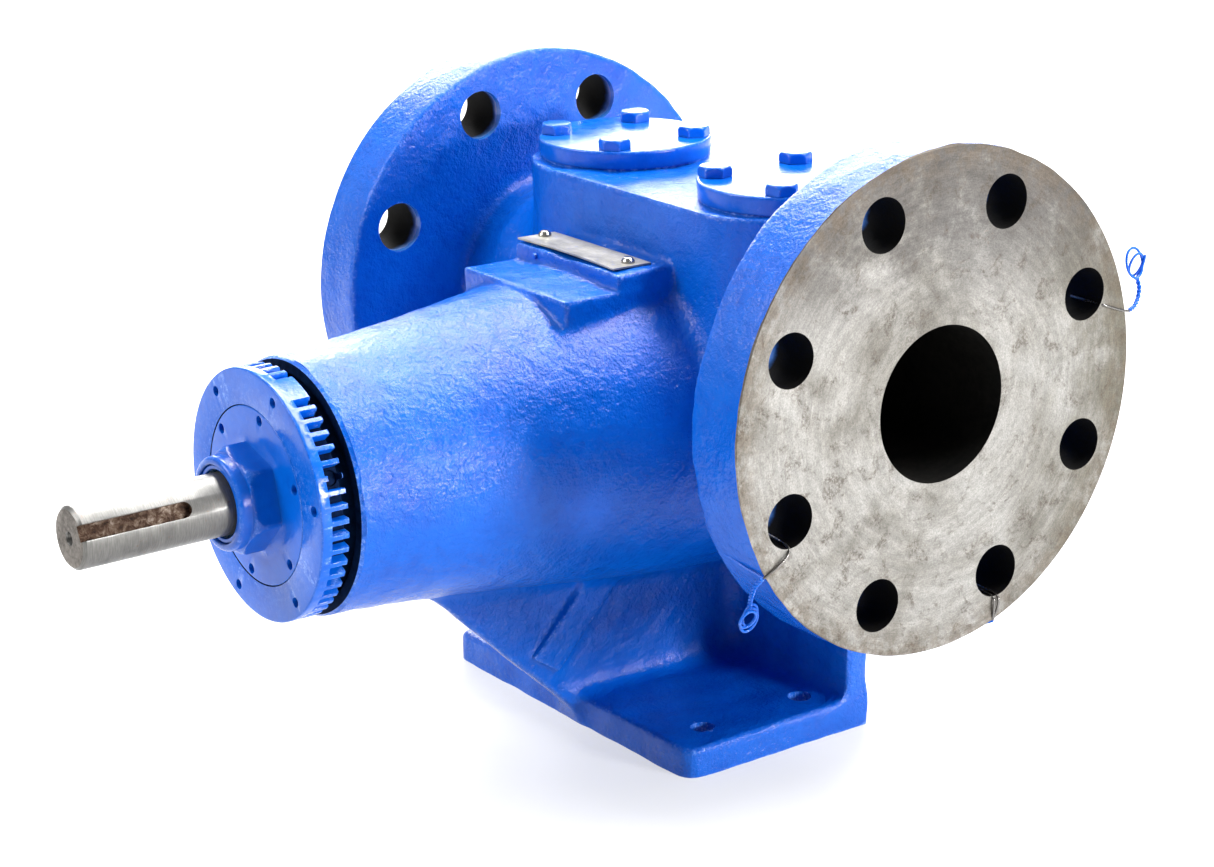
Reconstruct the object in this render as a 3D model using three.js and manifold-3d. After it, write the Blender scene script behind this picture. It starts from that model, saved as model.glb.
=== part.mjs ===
// Foot-mounted internal gear pump with two opposed drilled flanges, in millimetres.
// X runs along the ports, Y along the shaft with the drive end at -Y, and Z is up.
// The origin is under the crossing of the two axes, on the plane that the foot stands on.
import * as THREE from 'three';
import { mergeVertices } from 'three/addons/utils/BufferGeometryUtils.js';
import Module from 'manifold-3d';

const wasm = await Module();
wasm.setup();

// ---------------------------------------------------------------- driving dimensions
const GAP = 0.3;                 // running and mating clearance between separate pieces
const SHAFT_Z = 136.5;
const PORT_Z = 167.5;

const FLANGE = { face: 152.4, thick: 28.4, r: 104.8, chamfer: 1.2, holes: 8, holeR: 11.1, pitchR: 84.1 };
const PORT_BORE_R = 32.4;
const PORT_BORE_END = 42;        // the two port bores stop this far from the middle
const NECK = { tipR: 42, rootR: 48, rootX: 100, fillet: 4 };

const CHEST = { halfStraight: 50, r: 45.7, top: 234.4, base: 150, edge: 2.5 };
const VALVE = { x: 57, boreR: 24, coverR: 38.4, coverThick: 7.8, gasket: 0.8, boltOffset: 21.8 };
const HEX_BOLT = { flats: 12.7, head: 4.6, shankR: 4, shank: 18 };
const BOLT_SIDES = 6;            // sides of a bolt shank and of its hole
const BOLT_HOLE_R = HEX_BOLT.shankR + 2 * GAP;

const CASING = { frontY: -32, rearY: 47, chamberR: 62.5, rimR: 88, rimY: 30 };
const NOSE_Y = -209;             // front rim of the bracket cone
const BEARING_BORE_R = 45.3;
const BEARING_BORE_END = -163;
const BRACKET_BORE_R = 34;       // hollow of the bracket behind the bearing housing
const SEAL_BORE = { r: 30, frontY: -100, rearY: -62 };
const BUSHING_BORE_R = 24.3;
const PAD = {
  halfX: 37.3, frontY: -100.7, stepY: -74.2, flatBackY: -46, backY: -20, lowZ: 202.2, highZ: 209, backZ: 215,
};

const FOOT = {
  leftX: -91, rightX: 84, frontY: -74.6, backY: 24.6, thick: 13.5, leftCorner: 5, rightCorner: 10, edge: 2,
};
const FOOT_HOLE = { x: 66.5, r: 5.2, ys: [-53.6, -0.2] };
const WEB = { half: 5, topZ: 106.5, tipY: -148.6, tipZ: 76, ribRaise: 3 };
const BACK_PLATE = { frontY: 12.8, shoulderZ: 72, topHalfX: 64 };
const STAND_BASE_Z = 4;          // web and back plate start inside the foot

const SHAFT = { endY: -307.2, r: 12.7, seatR: 17.5, bodyR: 19 };
const KEYWAY = { width: 6.35, depth: 3.2, angle: 25, endY: -260.5 };
const RING = { frontY: -226.3, bandY: -221.2, backY: -213.9, r: 51.8, grooveR: 47.3, teeth: 54, endY: -165 };
const RING_BORE_R = 37;
const HUB = { flats: 39, frontY: -238, noseY: -243.6, noseR: 19.3, boreR: 16, turn: -16 };
const CAP_BACK_Y = -207;
const SOCKET_ANGLE = 21.3;       // set screw, measured from +X towards +Z
const BLOCK_TEETH = [6, 7];      // tooth pitches left without a groove
const SPANNER_HOLE = { r: 2, depth: 4, housingR: 46.3, housingAngle: 7.4, capR: 33.2, capAngle: 19 };
const BEARING = { frontY: -206.3, rearY: -189.3, outerR: 36, pitchR: 26.75, balls: 9, ballR: 5.5 };

const ROTOR = { r: 61.5, teeth: 10, tipR: 41, discY: -20, tipHalf: 5, rimHalf: 8.4 };
const IDLER = { teeth: 7, r: 46, offset: 14, rootLimit: 24, bushR: 17, pinR: 12.6 };
const HEAD = {
  frontY: 47.8, backY: 63.8, bossR: 30, bossY: 70,
  bolts: 8, firstBolt: 22.5, boltR: 75.5, shank: 27, holeFloorY: 36,
};

const BLUE = 0x2f63d6;
const STEEL = 0xb9b9b4;
const DARK_STEEL = 0x6d6f70;
const IRON = 0x4b4d50;
const BRONZE = 0xa9773c;
const RUBBER = 0x1c1c1e;
const FIBRE = 0x55504a;

// ---------------------------------------------------------------- geometry helpers
const RAD = Math.PI / 180;
const AXIS = { x: new THREE.Vector3(1, 0, 0), y: new THREE.Vector3(0, 1, 0), z: new THREE.Vector3(0, 0, 1) };

// A three.js geometry as a manifold solid with shared vertices and outward faces.
function toSolid(geometry) {
  const bare = geometry.clone();
  bare.deleteAttribute('normal');
  bare.deleteAttribute('uv');
  const merged = mergeVertices(bare, 1e-4);
  const corners = merged.index.array;
  const kept = [];
  for (let i = 0; i < corners.length; i += 3) {
    const [a, b, c] = [corners[i], corners[i + 1], corners[i + 2]];
    if (a !== b && b !== c && c !== a) kept.push(a, b, c);
  }
  const vertProperties = new Float32Array(merged.attributes.position.array);
  const solid = makeSolid(vertProperties, kept);
  if (solid.volume() > 0) return solid;
  for (let i = 0; i < kept.length; i += 3) kept.splice(i, 2, kept[i + 1], kept[i]);
  return makeSolid(vertProperties, kept);
}

function makeSolid(vertProperties, corners) {
  return new wasm.Manifold(new wasm.Mesh({ numProp: 3, vertProperties, triVerts: new Uint32Array(corners) }));
}

function toGeometry(solid) {
  const mesh = solid.getMesh();
  const geometry = new THREE.BufferGeometry();
  geometry.setAttribute('position', new THREE.BufferAttribute(mesh.vertProperties, 3));
  geometry.setIndex(new THREE.BufferAttribute(mesh.triVerts, 1));
  geometry.computeVertexNormals();
  return geometry;
}

const asSolid = (shape) => (shape.isBufferGeometry ? toSolid(shape) : shape);
const join = (first, ...others) => others.reduce((sum, other) => sum.add(asSolid(other)), asSolid(first));
const cut = (first, ...tools) => tools.reduce((rest, tool) => rest.subtract(asSolid(tool)), asSolid(first));
const common = (first, second) => asSolid(first).intersect(asSolid(second));

// A turned shape about the Y axis. The profile is a list of [radius, y]; one that doesn't start and
// end on the axis is closed back to its first point.
function turned(profile, segments = 48) {
  const points = profile.map(([r, y]) => new THREE.Vector2(r, y));
  const onAxis = profile[0][0] === 0 && profile.at(-1)[0] === 0;
  if (!onAxis) points.push(points[0].clone());
  return new THREE.LatheGeometry(points, segments);
}

const rod = (r, y0, y1, segments = 48) => turned([[0, y0], [r, y0], [r, y1], [0, y1]], segments);

function ring(innerR, outerR, y0, y1, segments = 48) {
  return turned([[innerR, y0], [outerR, y0], [outerR, y1], [innerR, y1]], segments);
}

// Turns a shape made about Y so that it runs along X or Z instead.
const alongX = (geometry) => geometry.rotateZ(-Math.PI / 2);
const alongZ = (geometry) => geometry.rotateX(Math.PI / 2);

const extruded = (shape, depth, curveSegments = 8) =>
  new THREE.ExtrudeGeometry(shape, { depth, bevelEnabled: false, curveSegments });

// Prisms whose outline is drawn in the plane across their own axis.
const prismZ = (shape, z0, z1) => extruded(shape, z1 - z0).translate(0, 0, z0);
const prismY = (shape, y0, y1) => extruded(shape, y1 - y0).rotateX(Math.PI / 2).translate(0, y1, 0);
function prismX(shape, x0, x1) {
  const turn = new THREE.Matrix4().makeBasis(AXIS.y, AXIS.z, AXIS.x);
  return extruded(shape, x1 - x0).applyMatrix4(turn).translate(x0, 0, 0);
}

const polygon = (points) => new THREE.Shape(points.map(([x, y]) => new THREE.Vector2(x, y)));

function box(x0, x1, y0, y1, z0, z1) {
  const centre = [(x0 + x1) / 2, (y0 + y1) / 2, (z0 + z1) / 2];
  return new THREE.BoxGeometry(x1 - x0, y1 - y0, z1 - z0).translate(...centre);
}

// Places count copies of a turned shape on a circle about the Y axis.
function around(count, radius, startAngle, makeOne) {
  const copies = [];
  for (let i = 0; i < count; i += 1) {
    const angle = (startAngle + (360 / count) * i) * RAD;
    copies.push(makeOne().translate(radius * Math.cos(angle), 0, radius * Math.sin(angle)));
  }
  return copies;
}

function hexagon(flats) {
  const cornerR = flats / Math.sqrt(3);
  const corners = [0, 60, 120, 180, 240, 300];
  return polygon(corners.map((a) => [cornerR * Math.cos(a * RAD), cornerR * Math.sin(a * RAD)]));
}

function paint(color, roughness, metalness) {
  return new THREE.MeshStandardMaterial({ color, roughness, metalness });
}

const MATERIAL = {
  enamel: paint(BLUE, 0.3, 0),
  steel: paint(STEEL, 0.3, 1),
  darkSteel: paint(DARK_STEEL, 0.4, 1),
  iron: paint(IRON, 0.6, 0.8),
  bronze: paint(BRONZE, 0.4, 1),
  rubber: paint(RUBBER, 0.8, 0),
  fibre: paint(FIBRE, 0.9, 0),
};

function part(name, shape, material) {
  const mesh = new THREE.Mesh(toGeometry(asSolid(shape)), material);
  mesh.name = name;
  return mesh;
}

const pump = new THREE.Group();
const shaftLine = new THREE.Group();
shaftLine.position.z = SHAFT_Z;
pump.add(shaftLine);

// ---------------------------------------------------------------- pump body casting
// One flange and its neck, on the +X or -X side.
function flangeAndNeck(side) {
  const { face, thick, r, chamfer } = FLANGE;
  const { rootR, rootX, tipR, fillet } = NECK;
  const back = face - thick;
  const profile = [
    [0, 0], [rootR, 0], [rootR, rootX], [tipR, back - fillet], [tipR + fillet, back],
    [r, back], [r, face - chamfer], [r - chamfer, face], [0, face],
  ];
  const shape = alongX(turned(profile, 36));
  if (side < 0) shape.rotateZ(Math.PI);
  return shape.translate(0, 0, PORT_Z);
}

// Flange bolt holes straddle the vertical and horizontal centre lines.
function flangeHoles(side) {
  const { face, thick, holes, holeR, pitchR } = FLANGE;
  const drill = () => rod(holeR, face - thick - 1, face + 1, 8);
  return around(holes, pitchR, 180 / holes, drill).map((hole) => {
    alongX(hole);
    if (side < 0) hole.rotateZ(Math.PI);
    return hole.translate(0, 0, PORT_Z);
  });
}

function stadium(halfStraight, r) {
  const shape = new THREE.Shape();
  shape.absarc(halfStraight, 0, r, -Math.PI / 2, Math.PI / 2);
  shape.absarc(-halfStraight, 0, r, Math.PI / 2, Math.PI * 1.5);
  return shape;
}

function valveChest() {
  const { halfStraight, r, top, base, edge } = CHEST;
  const options = { depth: top - base - edge, bevelThickness: edge, bevelSize: edge, bevelOffset: -edge };
  const outline = stadium(halfStraight, r);
  const solid = new THREE.ExtrudeGeometry(outline, { ...options, bevelSegments: 1, curveSegments: 9 });
  return cut(solid.translate(0, 0, base), box(-200, 200, -100, 100, base - 2 * edge, base));
}

// Casing barrel, bracket cone and rear rim, turned about the shaft axis.
function barrel() {
  const outline = [
    [0, NOSE_Y], [53.4, NOSE_Y], [54.6, -185], [58, -150], [71.5, -46], [76, CASING.rimY - 8],
    [CASING.rimR, CASING.rimY], [CASING.rimR, CASING.rearY], [0, CASING.rearY],
  ];
  return turned(outline, 36).translate(0, 0, SHAFT_Z);
}

function nameplatePad() {
  const { halfX, frontY, stepY, flatBackY, backY, lowZ, highZ, backZ } = PAD;
  const base = SHAFT_Z;
  const side = polygon([
    [frontY, base], [backY, base], [backY, backZ], [flatBackY, highZ],
    [stepY, highZ], [stepY, lowZ], [frontY, lowZ],
  ]);
  return prismX(side, -halfX, halfX);
}

function footPlate() {
  const { leftX, rightX, frontY, backY, thick, leftCorner, rightCorner, edge } = FOOT;
  const shape = new THREE.Shape();
  shape.moveTo(leftX, backY);
  shape.lineTo(leftX, frontY + leftCorner);
  shape.absarc(leftX + leftCorner, frontY + leftCorner, leftCorner, Math.PI, Math.PI * 1.5);
  shape.absarc(rightX - rightCorner, frontY + rightCorner, rightCorner, -Math.PI / 2, 0);
  shape.lineTo(rightX, backY);
  const options = { depth: thick - edge, bevelThickness: edge, bevelSize: edge, bevelOffset: -edge };
  const solid = new THREE.ExtrudeGeometry(shape, { ...options, bevelSegments: 1, curveSegments: 3 });
  return cut(solid, box(-200, 200, -200, 100, -2 * edge, 0));
}

// Upright web under the cone, with the raised diagonal rib on each face.
function web() {
  const { half, topZ, tipY, tipZ, ribRaise } = WEB;
  const toeY = FOOT.frontY + 1;
  const heelY = FOOT.backY;
  const profile = polygon([[toeY, STAND_BASE_Z], [heelY, STAND_BASE_Z], [heelY, topZ], [tipY, topZ], [tipY, tipZ]]);
  const rib = polygon([[-99.4, 36.8], [-86.4, 27.9], [-58, 58], [-48, 76], [-66, 76], [-77.7, 59.3]]);
  const ribHalf = half + ribRaise;
  return join(prismX(profile, -half, half), prismX(rib, -ribHalf, ribHalf));
}

// Cross plate at the back of the foot that rises into the casing.
function backPlate() {
  const { frontY, shoulderZ, topHalfX } = BACK_PLATE;
  const halfX = FOOT.rightX;
  const shape = polygon([
    [-halfX, STAND_BASE_Z], [halfX, STAND_BASE_Z], [halfX, shoulderZ],
    [topHalfX, SHAFT_Z], [-topHalfX, SHAFT_Z], [-halfX, shoulderZ],
  ]);
  return prismY(shape, frontY, FOOT.backY);
}

// Bore along the shaft: bearing housing, bracket hollow, seal chamber, bushing seat and gear chamber.
function shaftBore() {
  const mouth = 3;
  const profile = [
    [0, NOSE_Y - 1], [BEARING_BORE_R + mouth, NOSE_Y - 1], [BEARING_BORE_R, NOSE_Y + mouth],
    [BEARING_BORE_R, BEARING_BORE_END],
    [BRACKET_BORE_R, BEARING_BORE_END], [BRACKET_BORE_R, SEAL_BORE.frontY],
    [SEAL_BORE.r, SEAL_BORE.frontY], [SEAL_BORE.r, SEAL_BORE.rearY], [BUSHING_BORE_R, SEAL_BORE.rearY],
    [BUSHING_BORE_R, CASING.frontY], [CASING.chamberR, CASING.frontY], [CASING.chamberR, CASING.rearY + 1],
    [0, CASING.rearY + 1],
  ];
  return turned(profile, 36).translate(0, 0, SHAFT_Z);
}

function portBores() {
  const drill = () => alongX(rod(PORT_BORE_R, PORT_BORE_END, FLANGE.face + 1, 24));
  return [drill().translate(0, 0, PORT_Z), drill().rotateZ(Math.PI).translate(0, 0, PORT_Z)];
}

function valveBores() {
  const drill = () => alongZ(rod(VALVE.boreR, PORT_Z, CHEST.top + 1, 16));
  return [drill().translate(VALVE.x, 0, 0), drill().translate(-VALVE.x, 0, 0)];
}

// Centres of the four bolts in each cover.
function coverBoltCentres() {
  const centres = [];
  for (const side of [-1, 1]) {
    for (const [dx, dy] of [[-1, -1], [1, -1], [1, 1], [-1, 1]]) {
      centres.push([side * VALVE.x + dx * VALVE.boltOffset, dy * VALVE.boltOffset]);
    }
  }
  return centres;
}

function tappedHoles() {
  const floor = CHEST.top - HEX_BOLT.shank + 4;
  const coverDrill = () => alongZ(rod(BOLT_HOLE_R, floor, CHEST.top + 1, BOLT_SIDES));
  const cover = coverBoltCentres().map(([x, y]) => coverDrill().translate(x, y, 0));
  const rearDrill = () => rod(BOLT_HOLE_R, HEAD.holeFloorY, CASING.rearY + 1, BOLT_SIDES);
  const rear = around(HEAD.bolts, HEAD.boltR, HEAD.firstBolt, rearDrill);
  return [...cover, ...rear.map((hole) => hole.translate(0, 0, SHAFT_Z))];
}

function footHoles() {
  const drill = () => alongZ(rod(FOOT_HOLE.r, -1, FOOT.thick + 1, 10));
  const holes = [];
  for (const x of [-FOOT_HOLE.x, FOOT_HOLE.x]) {
    for (const y of FOOT_HOLE.ys) holes.push(drill().translate(x, y, 0));
  }
  return holes;
}

// Machined seat that the rear head bears on.
const headSeat = () => rod(CASING.rimR + 1, CASING.rearY, 80, 40).translate(0, 0, SHAFT_Z);

function pumpBody() {
  const upper = join(barrel(), flangeAndNeck(1), flangeAndNeck(-1), valveChest(), nameplatePad());
  const cast = join(upper, footPlate(), web(), backPlate());
  const bored = cut(cast, shaftBore(), headSeat(), ...portBores(), ...valveBores());
  return cut(bored, ...flangeHoles(1), ...flangeHoles(-1), ...tappedHoles(), ...footHoles());
}

pump.add(part('pump_body', pumpBody(), MATERIAL.enamel));

// ---------------------------------------------------------------- valve covers
// A hexagon bolt along -Z, with the underside of its head at z = 0.
function hexBolt({ flats, head, shankR, shank }) {
  return join(prismZ(hexagon(flats), 0, head), alongZ(rod(shankR, -shank, 0.5, BOLT_SIDES)));
}

function addValveCovers() {
  const { coverR, coverThick, gasket } = VALVE;
  const holes = coverBoltCentres();
  for (const [name, side] of [['left', -1], ['right', 1]]) {
    const seat = CHEST.top + gasket;
    const top = seat + coverThick;
    const drill = () => alongZ(rod(BOLT_HOLE_R, CHEST.top - 1, top + 1, BOLT_SIDES));
    const drills = () => holes.map(([x, y]) => drill().translate(x, y, 0));
    const outline = [[0, seat], [coverR, seat], [coverR, top - 1], [coverR - 1, top], [0, top]];
    const disc = alongZ(turned(outline, 30)).translate(side * VALVE.x, 0, 0);
    const sheet = alongZ(ring(VALVE.boreR, coverR - 0.6, CHEST.top, seat, 18)).translate(side * VALVE.x, 0, 0);
    pump.add(part(`valve_cover_${name}`, cut(disc, ...drills()), MATERIAL.enamel));
    pump.add(part(`valve_gasket_${name}`, cut(sheet, ...drills()), MATERIAL.fibre));
  }
  const top = CHEST.top + gasket + coverThick;
  holes.forEach(([x, y], i) => {
    const bolt = part(`cover_bolt_${i + 1}`, hexBolt(HEX_BOLT), MATERIAL.enamel);
    bolt.position.set(x, y, top);
    bolt.rotation.z = (17 + 23 * i) * RAD;
    pump.add(bolt);
  });
}

addValveCovers();

// ---------------------------------------------------------------- nameplate
function addNameplate() {
  const plate = part('nameplate', box(-35, 35, -9.8, 9.8, 0, 0.9), MATERIAL.steel);
  const mount = new THREE.Group();
  mount.position.set(-3, -62.5, PAD.highZ + 0.4);
  mount.add(plate);
  pump.add(mount);
  for (const [name, x] of [['nameplate_screw_1', -31], ['nameplate_screw_2', 29]]) {
    const dome = turned([[0, 0], [2.9, 0], [2.6, 1.2], [0, 2.4]], 10);
    const screw = part(name, alongZ(dome), MATERIAL.steel);
    screw.position.set(x, 2, 1.2);
    mount.add(screw);
  }
}

addNameplate();

// ---------------------------------------------------------------- bearing housing and end cap
// Ring outline with one groove per tooth pitch, except at the block of solid teeth.
function notchedOutline() {
  const { teeth, r, grooveR } = RING;
  const pitch = 360 / teeth;
  const half = pitch * 0.29;
  const points = [];
  for (let i = 0; i < teeth; i += 1) {
    const middle = SOCKET_ANGLE + pitch * (i + 0.5);
    const solid = BLOCK_TEETH.includes(i);
    const at = (radius, angle) => [radius * Math.cos(angle * RAD), radius * Math.sin(angle * RAD)];
    points.push(at(r, middle - half));
    if (!solid) points.push(at(grooveR, middle - half), at(grooveR, middle + half));
    points.push(at(r, middle + half));
  }
  return polygon(points);
}

// Holes for the spanner pins that turn the housing and the cap.
function spannerHoles(radius, startAngle) {
  const drill = () => rod(SPANNER_HOLE.r, RING.frontY - 1, RING.frontY + SPANNER_HOLE.depth, 6);
  return around(6, radius, startAngle, drill);
}

// Radial threaded socket for the set screw, at the middle of the groove band.
function radialHole(holeR, innerR, outerR) {
  const y = (RING.bandY + RING.backY) / 2;
  return alongX(rod(holeR, innerR, outerR, 8)).translate(0, y, 0).rotateY(-SOCKET_ANGLE * RAD);
}

function bearingHousing() {
  const { frontY, bandY, backY, r, endY } = RING;
  const band = rod(r, frontY, bandY, 36);
  const notches = prismY(notchedOutline(), bandY, backY);
  const barrelR = BEARING_BORE_R - GAP;
  const bearingSeatR = BEARING.outerR + GAP;
  const bearingEndY = BEARING.rearY + GAP;
  const bore = [
    [0, frontY - 1], [RING_BORE_R, frontY - 1], [RING_BORE_R, CAP_BACK_Y], [bearingSeatR, CAP_BACK_Y],
    [bearingSeatR, bearingEndY], [27, bearingEndY], [27, endY + 1], [0, endY + 1],
  ];
  const solid = join(band, notches, rod(barrelR, backY - 1, endY, 32));
  const pinHoles = spannerHoles(SPANNER_HOLE.housingR, SPANNER_HOLE.housingAngle);
  return cut(solid, turned(bore, 28), radialHole(3.3, 36, 60), ...pinHoles);
}

function endCap() {
  const { flats, frontY, noseY, noseR, boreR } = HUB;
  const disc = rod(RING_BORE_R - GAP, RING.frontY, CAP_BACK_Y - GAP, 36);
  const hex = prismY(hexagon(flats), frontY, RING.frontY + 1).rotateY(HUB.turn * RAD);
  const cornerR = flats / Math.sqrt(3) - 0.5;
  const rounding = turned([
    [0, RING.frontY + 2], [cornerR, RING.frontY + 2], [cornerR, frontY + 2.5], [cornerR - 2.5, frontY],
    [noseR, frontY], [noseR - 0.7, noseY + 2], [noseR - 2.4, noseY], [0, noseY],
  ], 30);
  const hub = join(common(hex, rounding), common(rounding, rod(noseR, noseY - 1, RING.frontY + 1, 30)));
  const bore = turned([
    [0, noseY - 1], [boreR, noseY - 1], [boreR, -229], [14, -229], [14, -223.5], [28, -219.5],
    [28, CAP_BACK_Y], [0, CAP_BACK_Y],
  ], 30);
  return cut(join(disc, hub), bore, ...spannerHoles(SPANNER_HOLE.capR, SPANNER_HOLE.capAngle));
}

// Lip seal with a garter lip that leans forward along the shaft.
function lipSeal(shaftR, outerR, y0, y1) {
  const middle = (y0 + y1) / 2;
  return turned([[outerR, y0], [outerR, y1], [shaftR + 2, y1], [shaftR, middle], [shaftR + 1.5, y0]], 20);
}

shaftLine.add(part('bearing_housing', bearingHousing(), MATERIAL.enamel));
shaftLine.add(part('end_cap', endCap(), MATERIAL.enamel));
const outerLip = lipSeal(SHAFT.r + GAP, HUB.boreR - GAP, HUB.noseY + 2.5, -231);
const innerLip = lipSeal(SHAFT.bodyR + GAP, 26.7, -178, -168);
shaftLine.add(part('shaft_lip_seal', outerLip, MATERIAL.rubber));
shaftLine.add(part('inner_lip_seal', innerLip, MATERIAL.rubber));
shaftLine.add(part('housing_setscrew', radialHole(3, 38, 46.5), MATERIAL.darkSteel));

// ---------------------------------------------------------------- shaft, bearing and seal
function driveShaft() {
  const { endY, r, seatR, bodyR } = SHAFT;
  const profile = [
    [0, endY], [r - 1.2, endY], [r, endY + 1.2], [r, -222], [seatR, -218], [seatR, -182], [seatR - 2, -182],
    [seatR - 2, -179], [bodyR, -179], [bodyR, ROTOR.discY - 0.5], [0, ROTOR.discY - 0.5],
  ];
  const centreDrill = turned([[0, endY - 1], [3, endY - 1], [3, endY], [0, endY + 5]], 10);
  const slot = new THREE.Shape();
  const half = KEYWAY.width / 2;
  slot.moveTo(-half, endY - 1);
  slot.lineTo(half, endY - 1);
  slot.absarc(0, KEYWAY.endY - half, half, 0, Math.PI);
  const keyway = prismZ(slot, r - KEYWAY.depth, r + 5).rotateY((90 - KEYWAY.angle) * RAD);
  return cut(turned(profile, 28), centreDrill, keyway);
}

function ballCage() {
  const { frontY, rearY, pitchR, balls, ballR } = BEARING;
  const middle = (frontY + rearY) / 2;
  const cage = ring(pitchR - 1.2, pitchR + 1.2, middle - 6.2, middle + 6.2, 18);
  const ball = () => new THREE.SphereGeometry(ballR, 6, 4).translate(0, middle, 0);
  return join(cage, ...around(balls, pitchR, 0, ball));
}

// A bearing race with the groove of the balls in its inner or outer face.
function race(faceR, grooveSide, wallR) {
  const { frontY, rearY, pitchR, ballR } = BEARING;
  const middle = (frontY + rearY) / 2;
  const grooveR = ballR + 2 * GAP;
  const profile = [[wallR, frontY], [faceR, frontY]];
  const reach = Math.acos(Math.abs(faceR - pitchR) / grooveR);
  for (let i = 0; i <= 4; i += 1) {
    const angle = reach * (1 - i / 2);
    profile.push([pitchR + grooveSide * grooveR * Math.cos(angle), middle - grooveR * Math.sin(angle)]);
  }
  profile.push([faceR, rearY], [wallR, rearY]);
  return turned(profile, 24);
}

// One half of the split ring that sits in the shaft groove and holds the spacer.
function halfRing(side) {
  const shape = new THREE.Shape();
  const open = 4 * RAD;
  shape.absarc(0, 0, 22, open, Math.PI - open, false);
  shape.absarc(0, 0, SHAFT.seatR - 2 + GAP, Math.PI - open, open, true);
  return prismY(shape, -181.7, -179.3).rotateY(side > 0 ? 0 : Math.PI);
}

function slottedNut() {
  const notches = around(4, 26, 0, () => box(-2.5, 2.5, -218, -206, -2.5, 2.5));
  return cut(ring(SHAFT.seatR + GAP, 26, -216.5, -208.3, 20), ...notches);
}

function addShaftLine() {
  const { r, seatR, bodyR } = SHAFT;
  const seat = seatR + GAP;
  shaftLine.add(part('drive_shaft', driveShaft(), MATERIAL.steel));
  shaftLine.add(part('locknut', slottedNut(), MATERIAL.darkSteel));
  shaftLine.add(part('lock_washer', ring(seat, 25.5, -208, -206.6, 20), MATERIAL.darkSteel));
  shaftLine.add(part('bearing_inner_race', race(23.2, -1, seat), MATERIAL.steel));
  shaftLine.add(part('bearing_outer_race', race(30.3, 1, BEARING.outerR), MATERIAL.steel));
  shaftLine.add(part('bearing_ball_cage', ballCage(), MATERIAL.steel));
  shaftLine.add(part('bearing_spacer', ring(seat, 23, -189, -182, 20), MATERIAL.darkSteel));
  shaftLine.add(part('half_ring_1', halfRing(1), MATERIAL.darkSteel));
  shaftLine.add(part('half_ring_2', halfRing(-1), MATERIAL.darkSteel));
  shaftLine.add(part('seal_gland', ring(bodyR + 2, 33.7, -108.3, -100.3, 20), MATERIAL.iron));
  shaftLine.add(part('seal_seat', ring(bodyR + 1, 28.5, -100, -93, 20), MATERIAL.fibre));
  const onShaft = bodyR + GAP;
  const rotary = turned([[onShaft, -92.7], [25, -92.7], [25, -88], [28, -88], [28, -70], [onShaft, -70]], 20);
  shaftLine.add(part('seal_rotary', rotary, MATERIAL.steel));
  shaftLine.add(part('bracket_bushing', ring(onShaft, 24, -61.7, CASING.frontY - GAP, 20), MATERIAL.bronze));
}

addShaftLine();

// ---------------------------------------------------------------- rotor, idler and head
// Half width of a rotor tooth at a distance out along its centre line.
function toothHalfWidth(distance) {
  const { r, tipR, tipHalf, rimHalf } = ROTOR;
  return tipHalf + ((rimHalf - tipHalf) * (distance - tipR)) / (r - tipR);
}

function rotor() {
  const { r, teeth, tipR, discY } = ROTOR;
  const endY = CASING.rearY + 0.3;
  const reach = r + 5;
  const tip = toothHalfWidth(tipR);
  const root = toothHalfWidth(reach);
  const wedge = polygon([[tipR, -tip], [reach, -root], [reach, root], [tipR, tip]]);
  const ringOfTeeth = [];
  for (let i = 0; i < teeth; i += 1) {
    ringOfTeeth.push(prismY(wedge, discY - 1, endY).rotateY(-(90 + (360 / teeth) * i) * RAD));
  }
  const blank = rod(r, CASING.frontY + 0.4, endY + 1, 40);
  const disc = rod(r, CASING.frontY + 0.4, discY, 40);
  return cut(join(disc, common(join(...ringOfTeeth), blank)), rod(SHAFT.bodyR + GAP, -40, discY + 1, 24));
}

// True where a point of the idler, given in its own polar coordinates, meets a rotor tooth at some
// moment while the two roll together. The rotor turns teeth_idler / teeth_rotor as fast.
function meetsRotor(radius, angle) {
  const { teeth, tipR } = ROTOR;
  const clearance = 0.5;
  const toothPitch = (2 * Math.PI) / teeth;
  for (let turn = -Math.PI; turn < Math.PI; turn += RAD) {
    const x = radius * Math.cos(angle + turn);
    const z = IDLER.offset + radius * Math.sin(angle + turn);
    const fromTooth = Math.atan2(z, x) - Math.PI / 2 - (turn * IDLER.teeth) / teeth;
    const offCentre = fromTooth - toothPitch * Math.round(fromTooth / toothPitch);
    const outward = Math.hypot(x, z) * Math.cos(offCentre);
    const sideways = Math.abs(Math.hypot(x, z) * Math.sin(offCentre));
    if (outward > tipR - clearance && sideways < toothHalfWidth(outward) + clearance) return true;
  }
  return false;
}

// Idler outline: from its root outward, each ray stops where a rotor tooth would pass.
function idlerOutline() {
  const perTooth = 14;
  const reach = [];
  for (let i = 0; i < perTooth; i += 1) {
    const angle = Math.PI / 2 + ((2 * Math.PI) / IDLER.teeth) * (i / perTooth);
    let radius = IDLER.rootLimit;
    while (radius < IDLER.r && !meetsRotor(radius + 0.1, angle)) radius += 0.1;
    reach.push(Math.min(radius, IDLER.r));
  }
  const count = perTooth * IDLER.teeth;
  const points = [];
  for (let i = 0; i < count; i += 1) {
    const angle = Math.PI / 2 + (2 * Math.PI * i) / count;
    const radius = reach[i % perTooth];
    points.push([radius * Math.cos(angle), radius * Math.sin(angle)]);
  }
  return polygon(points);
}

// Crescent cast on the head, between the rotor teeth below the shaft and the idler.
function crescent() {
  const { frontY } = HEAD;
  const y0 = ROTOR.discY + 0.6;
  const outer = rod(ROTOR.tipR - 0.6, y0, frontY + 1, 32);
  const inner = rod(IDLER.r + 0.7, y0 - 1, frontY + 2, 32).translate(0, 0, IDLER.offset);
  return cut(outer, inner, box(-80, 80, -80, 80, -14, 80));
}

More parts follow.
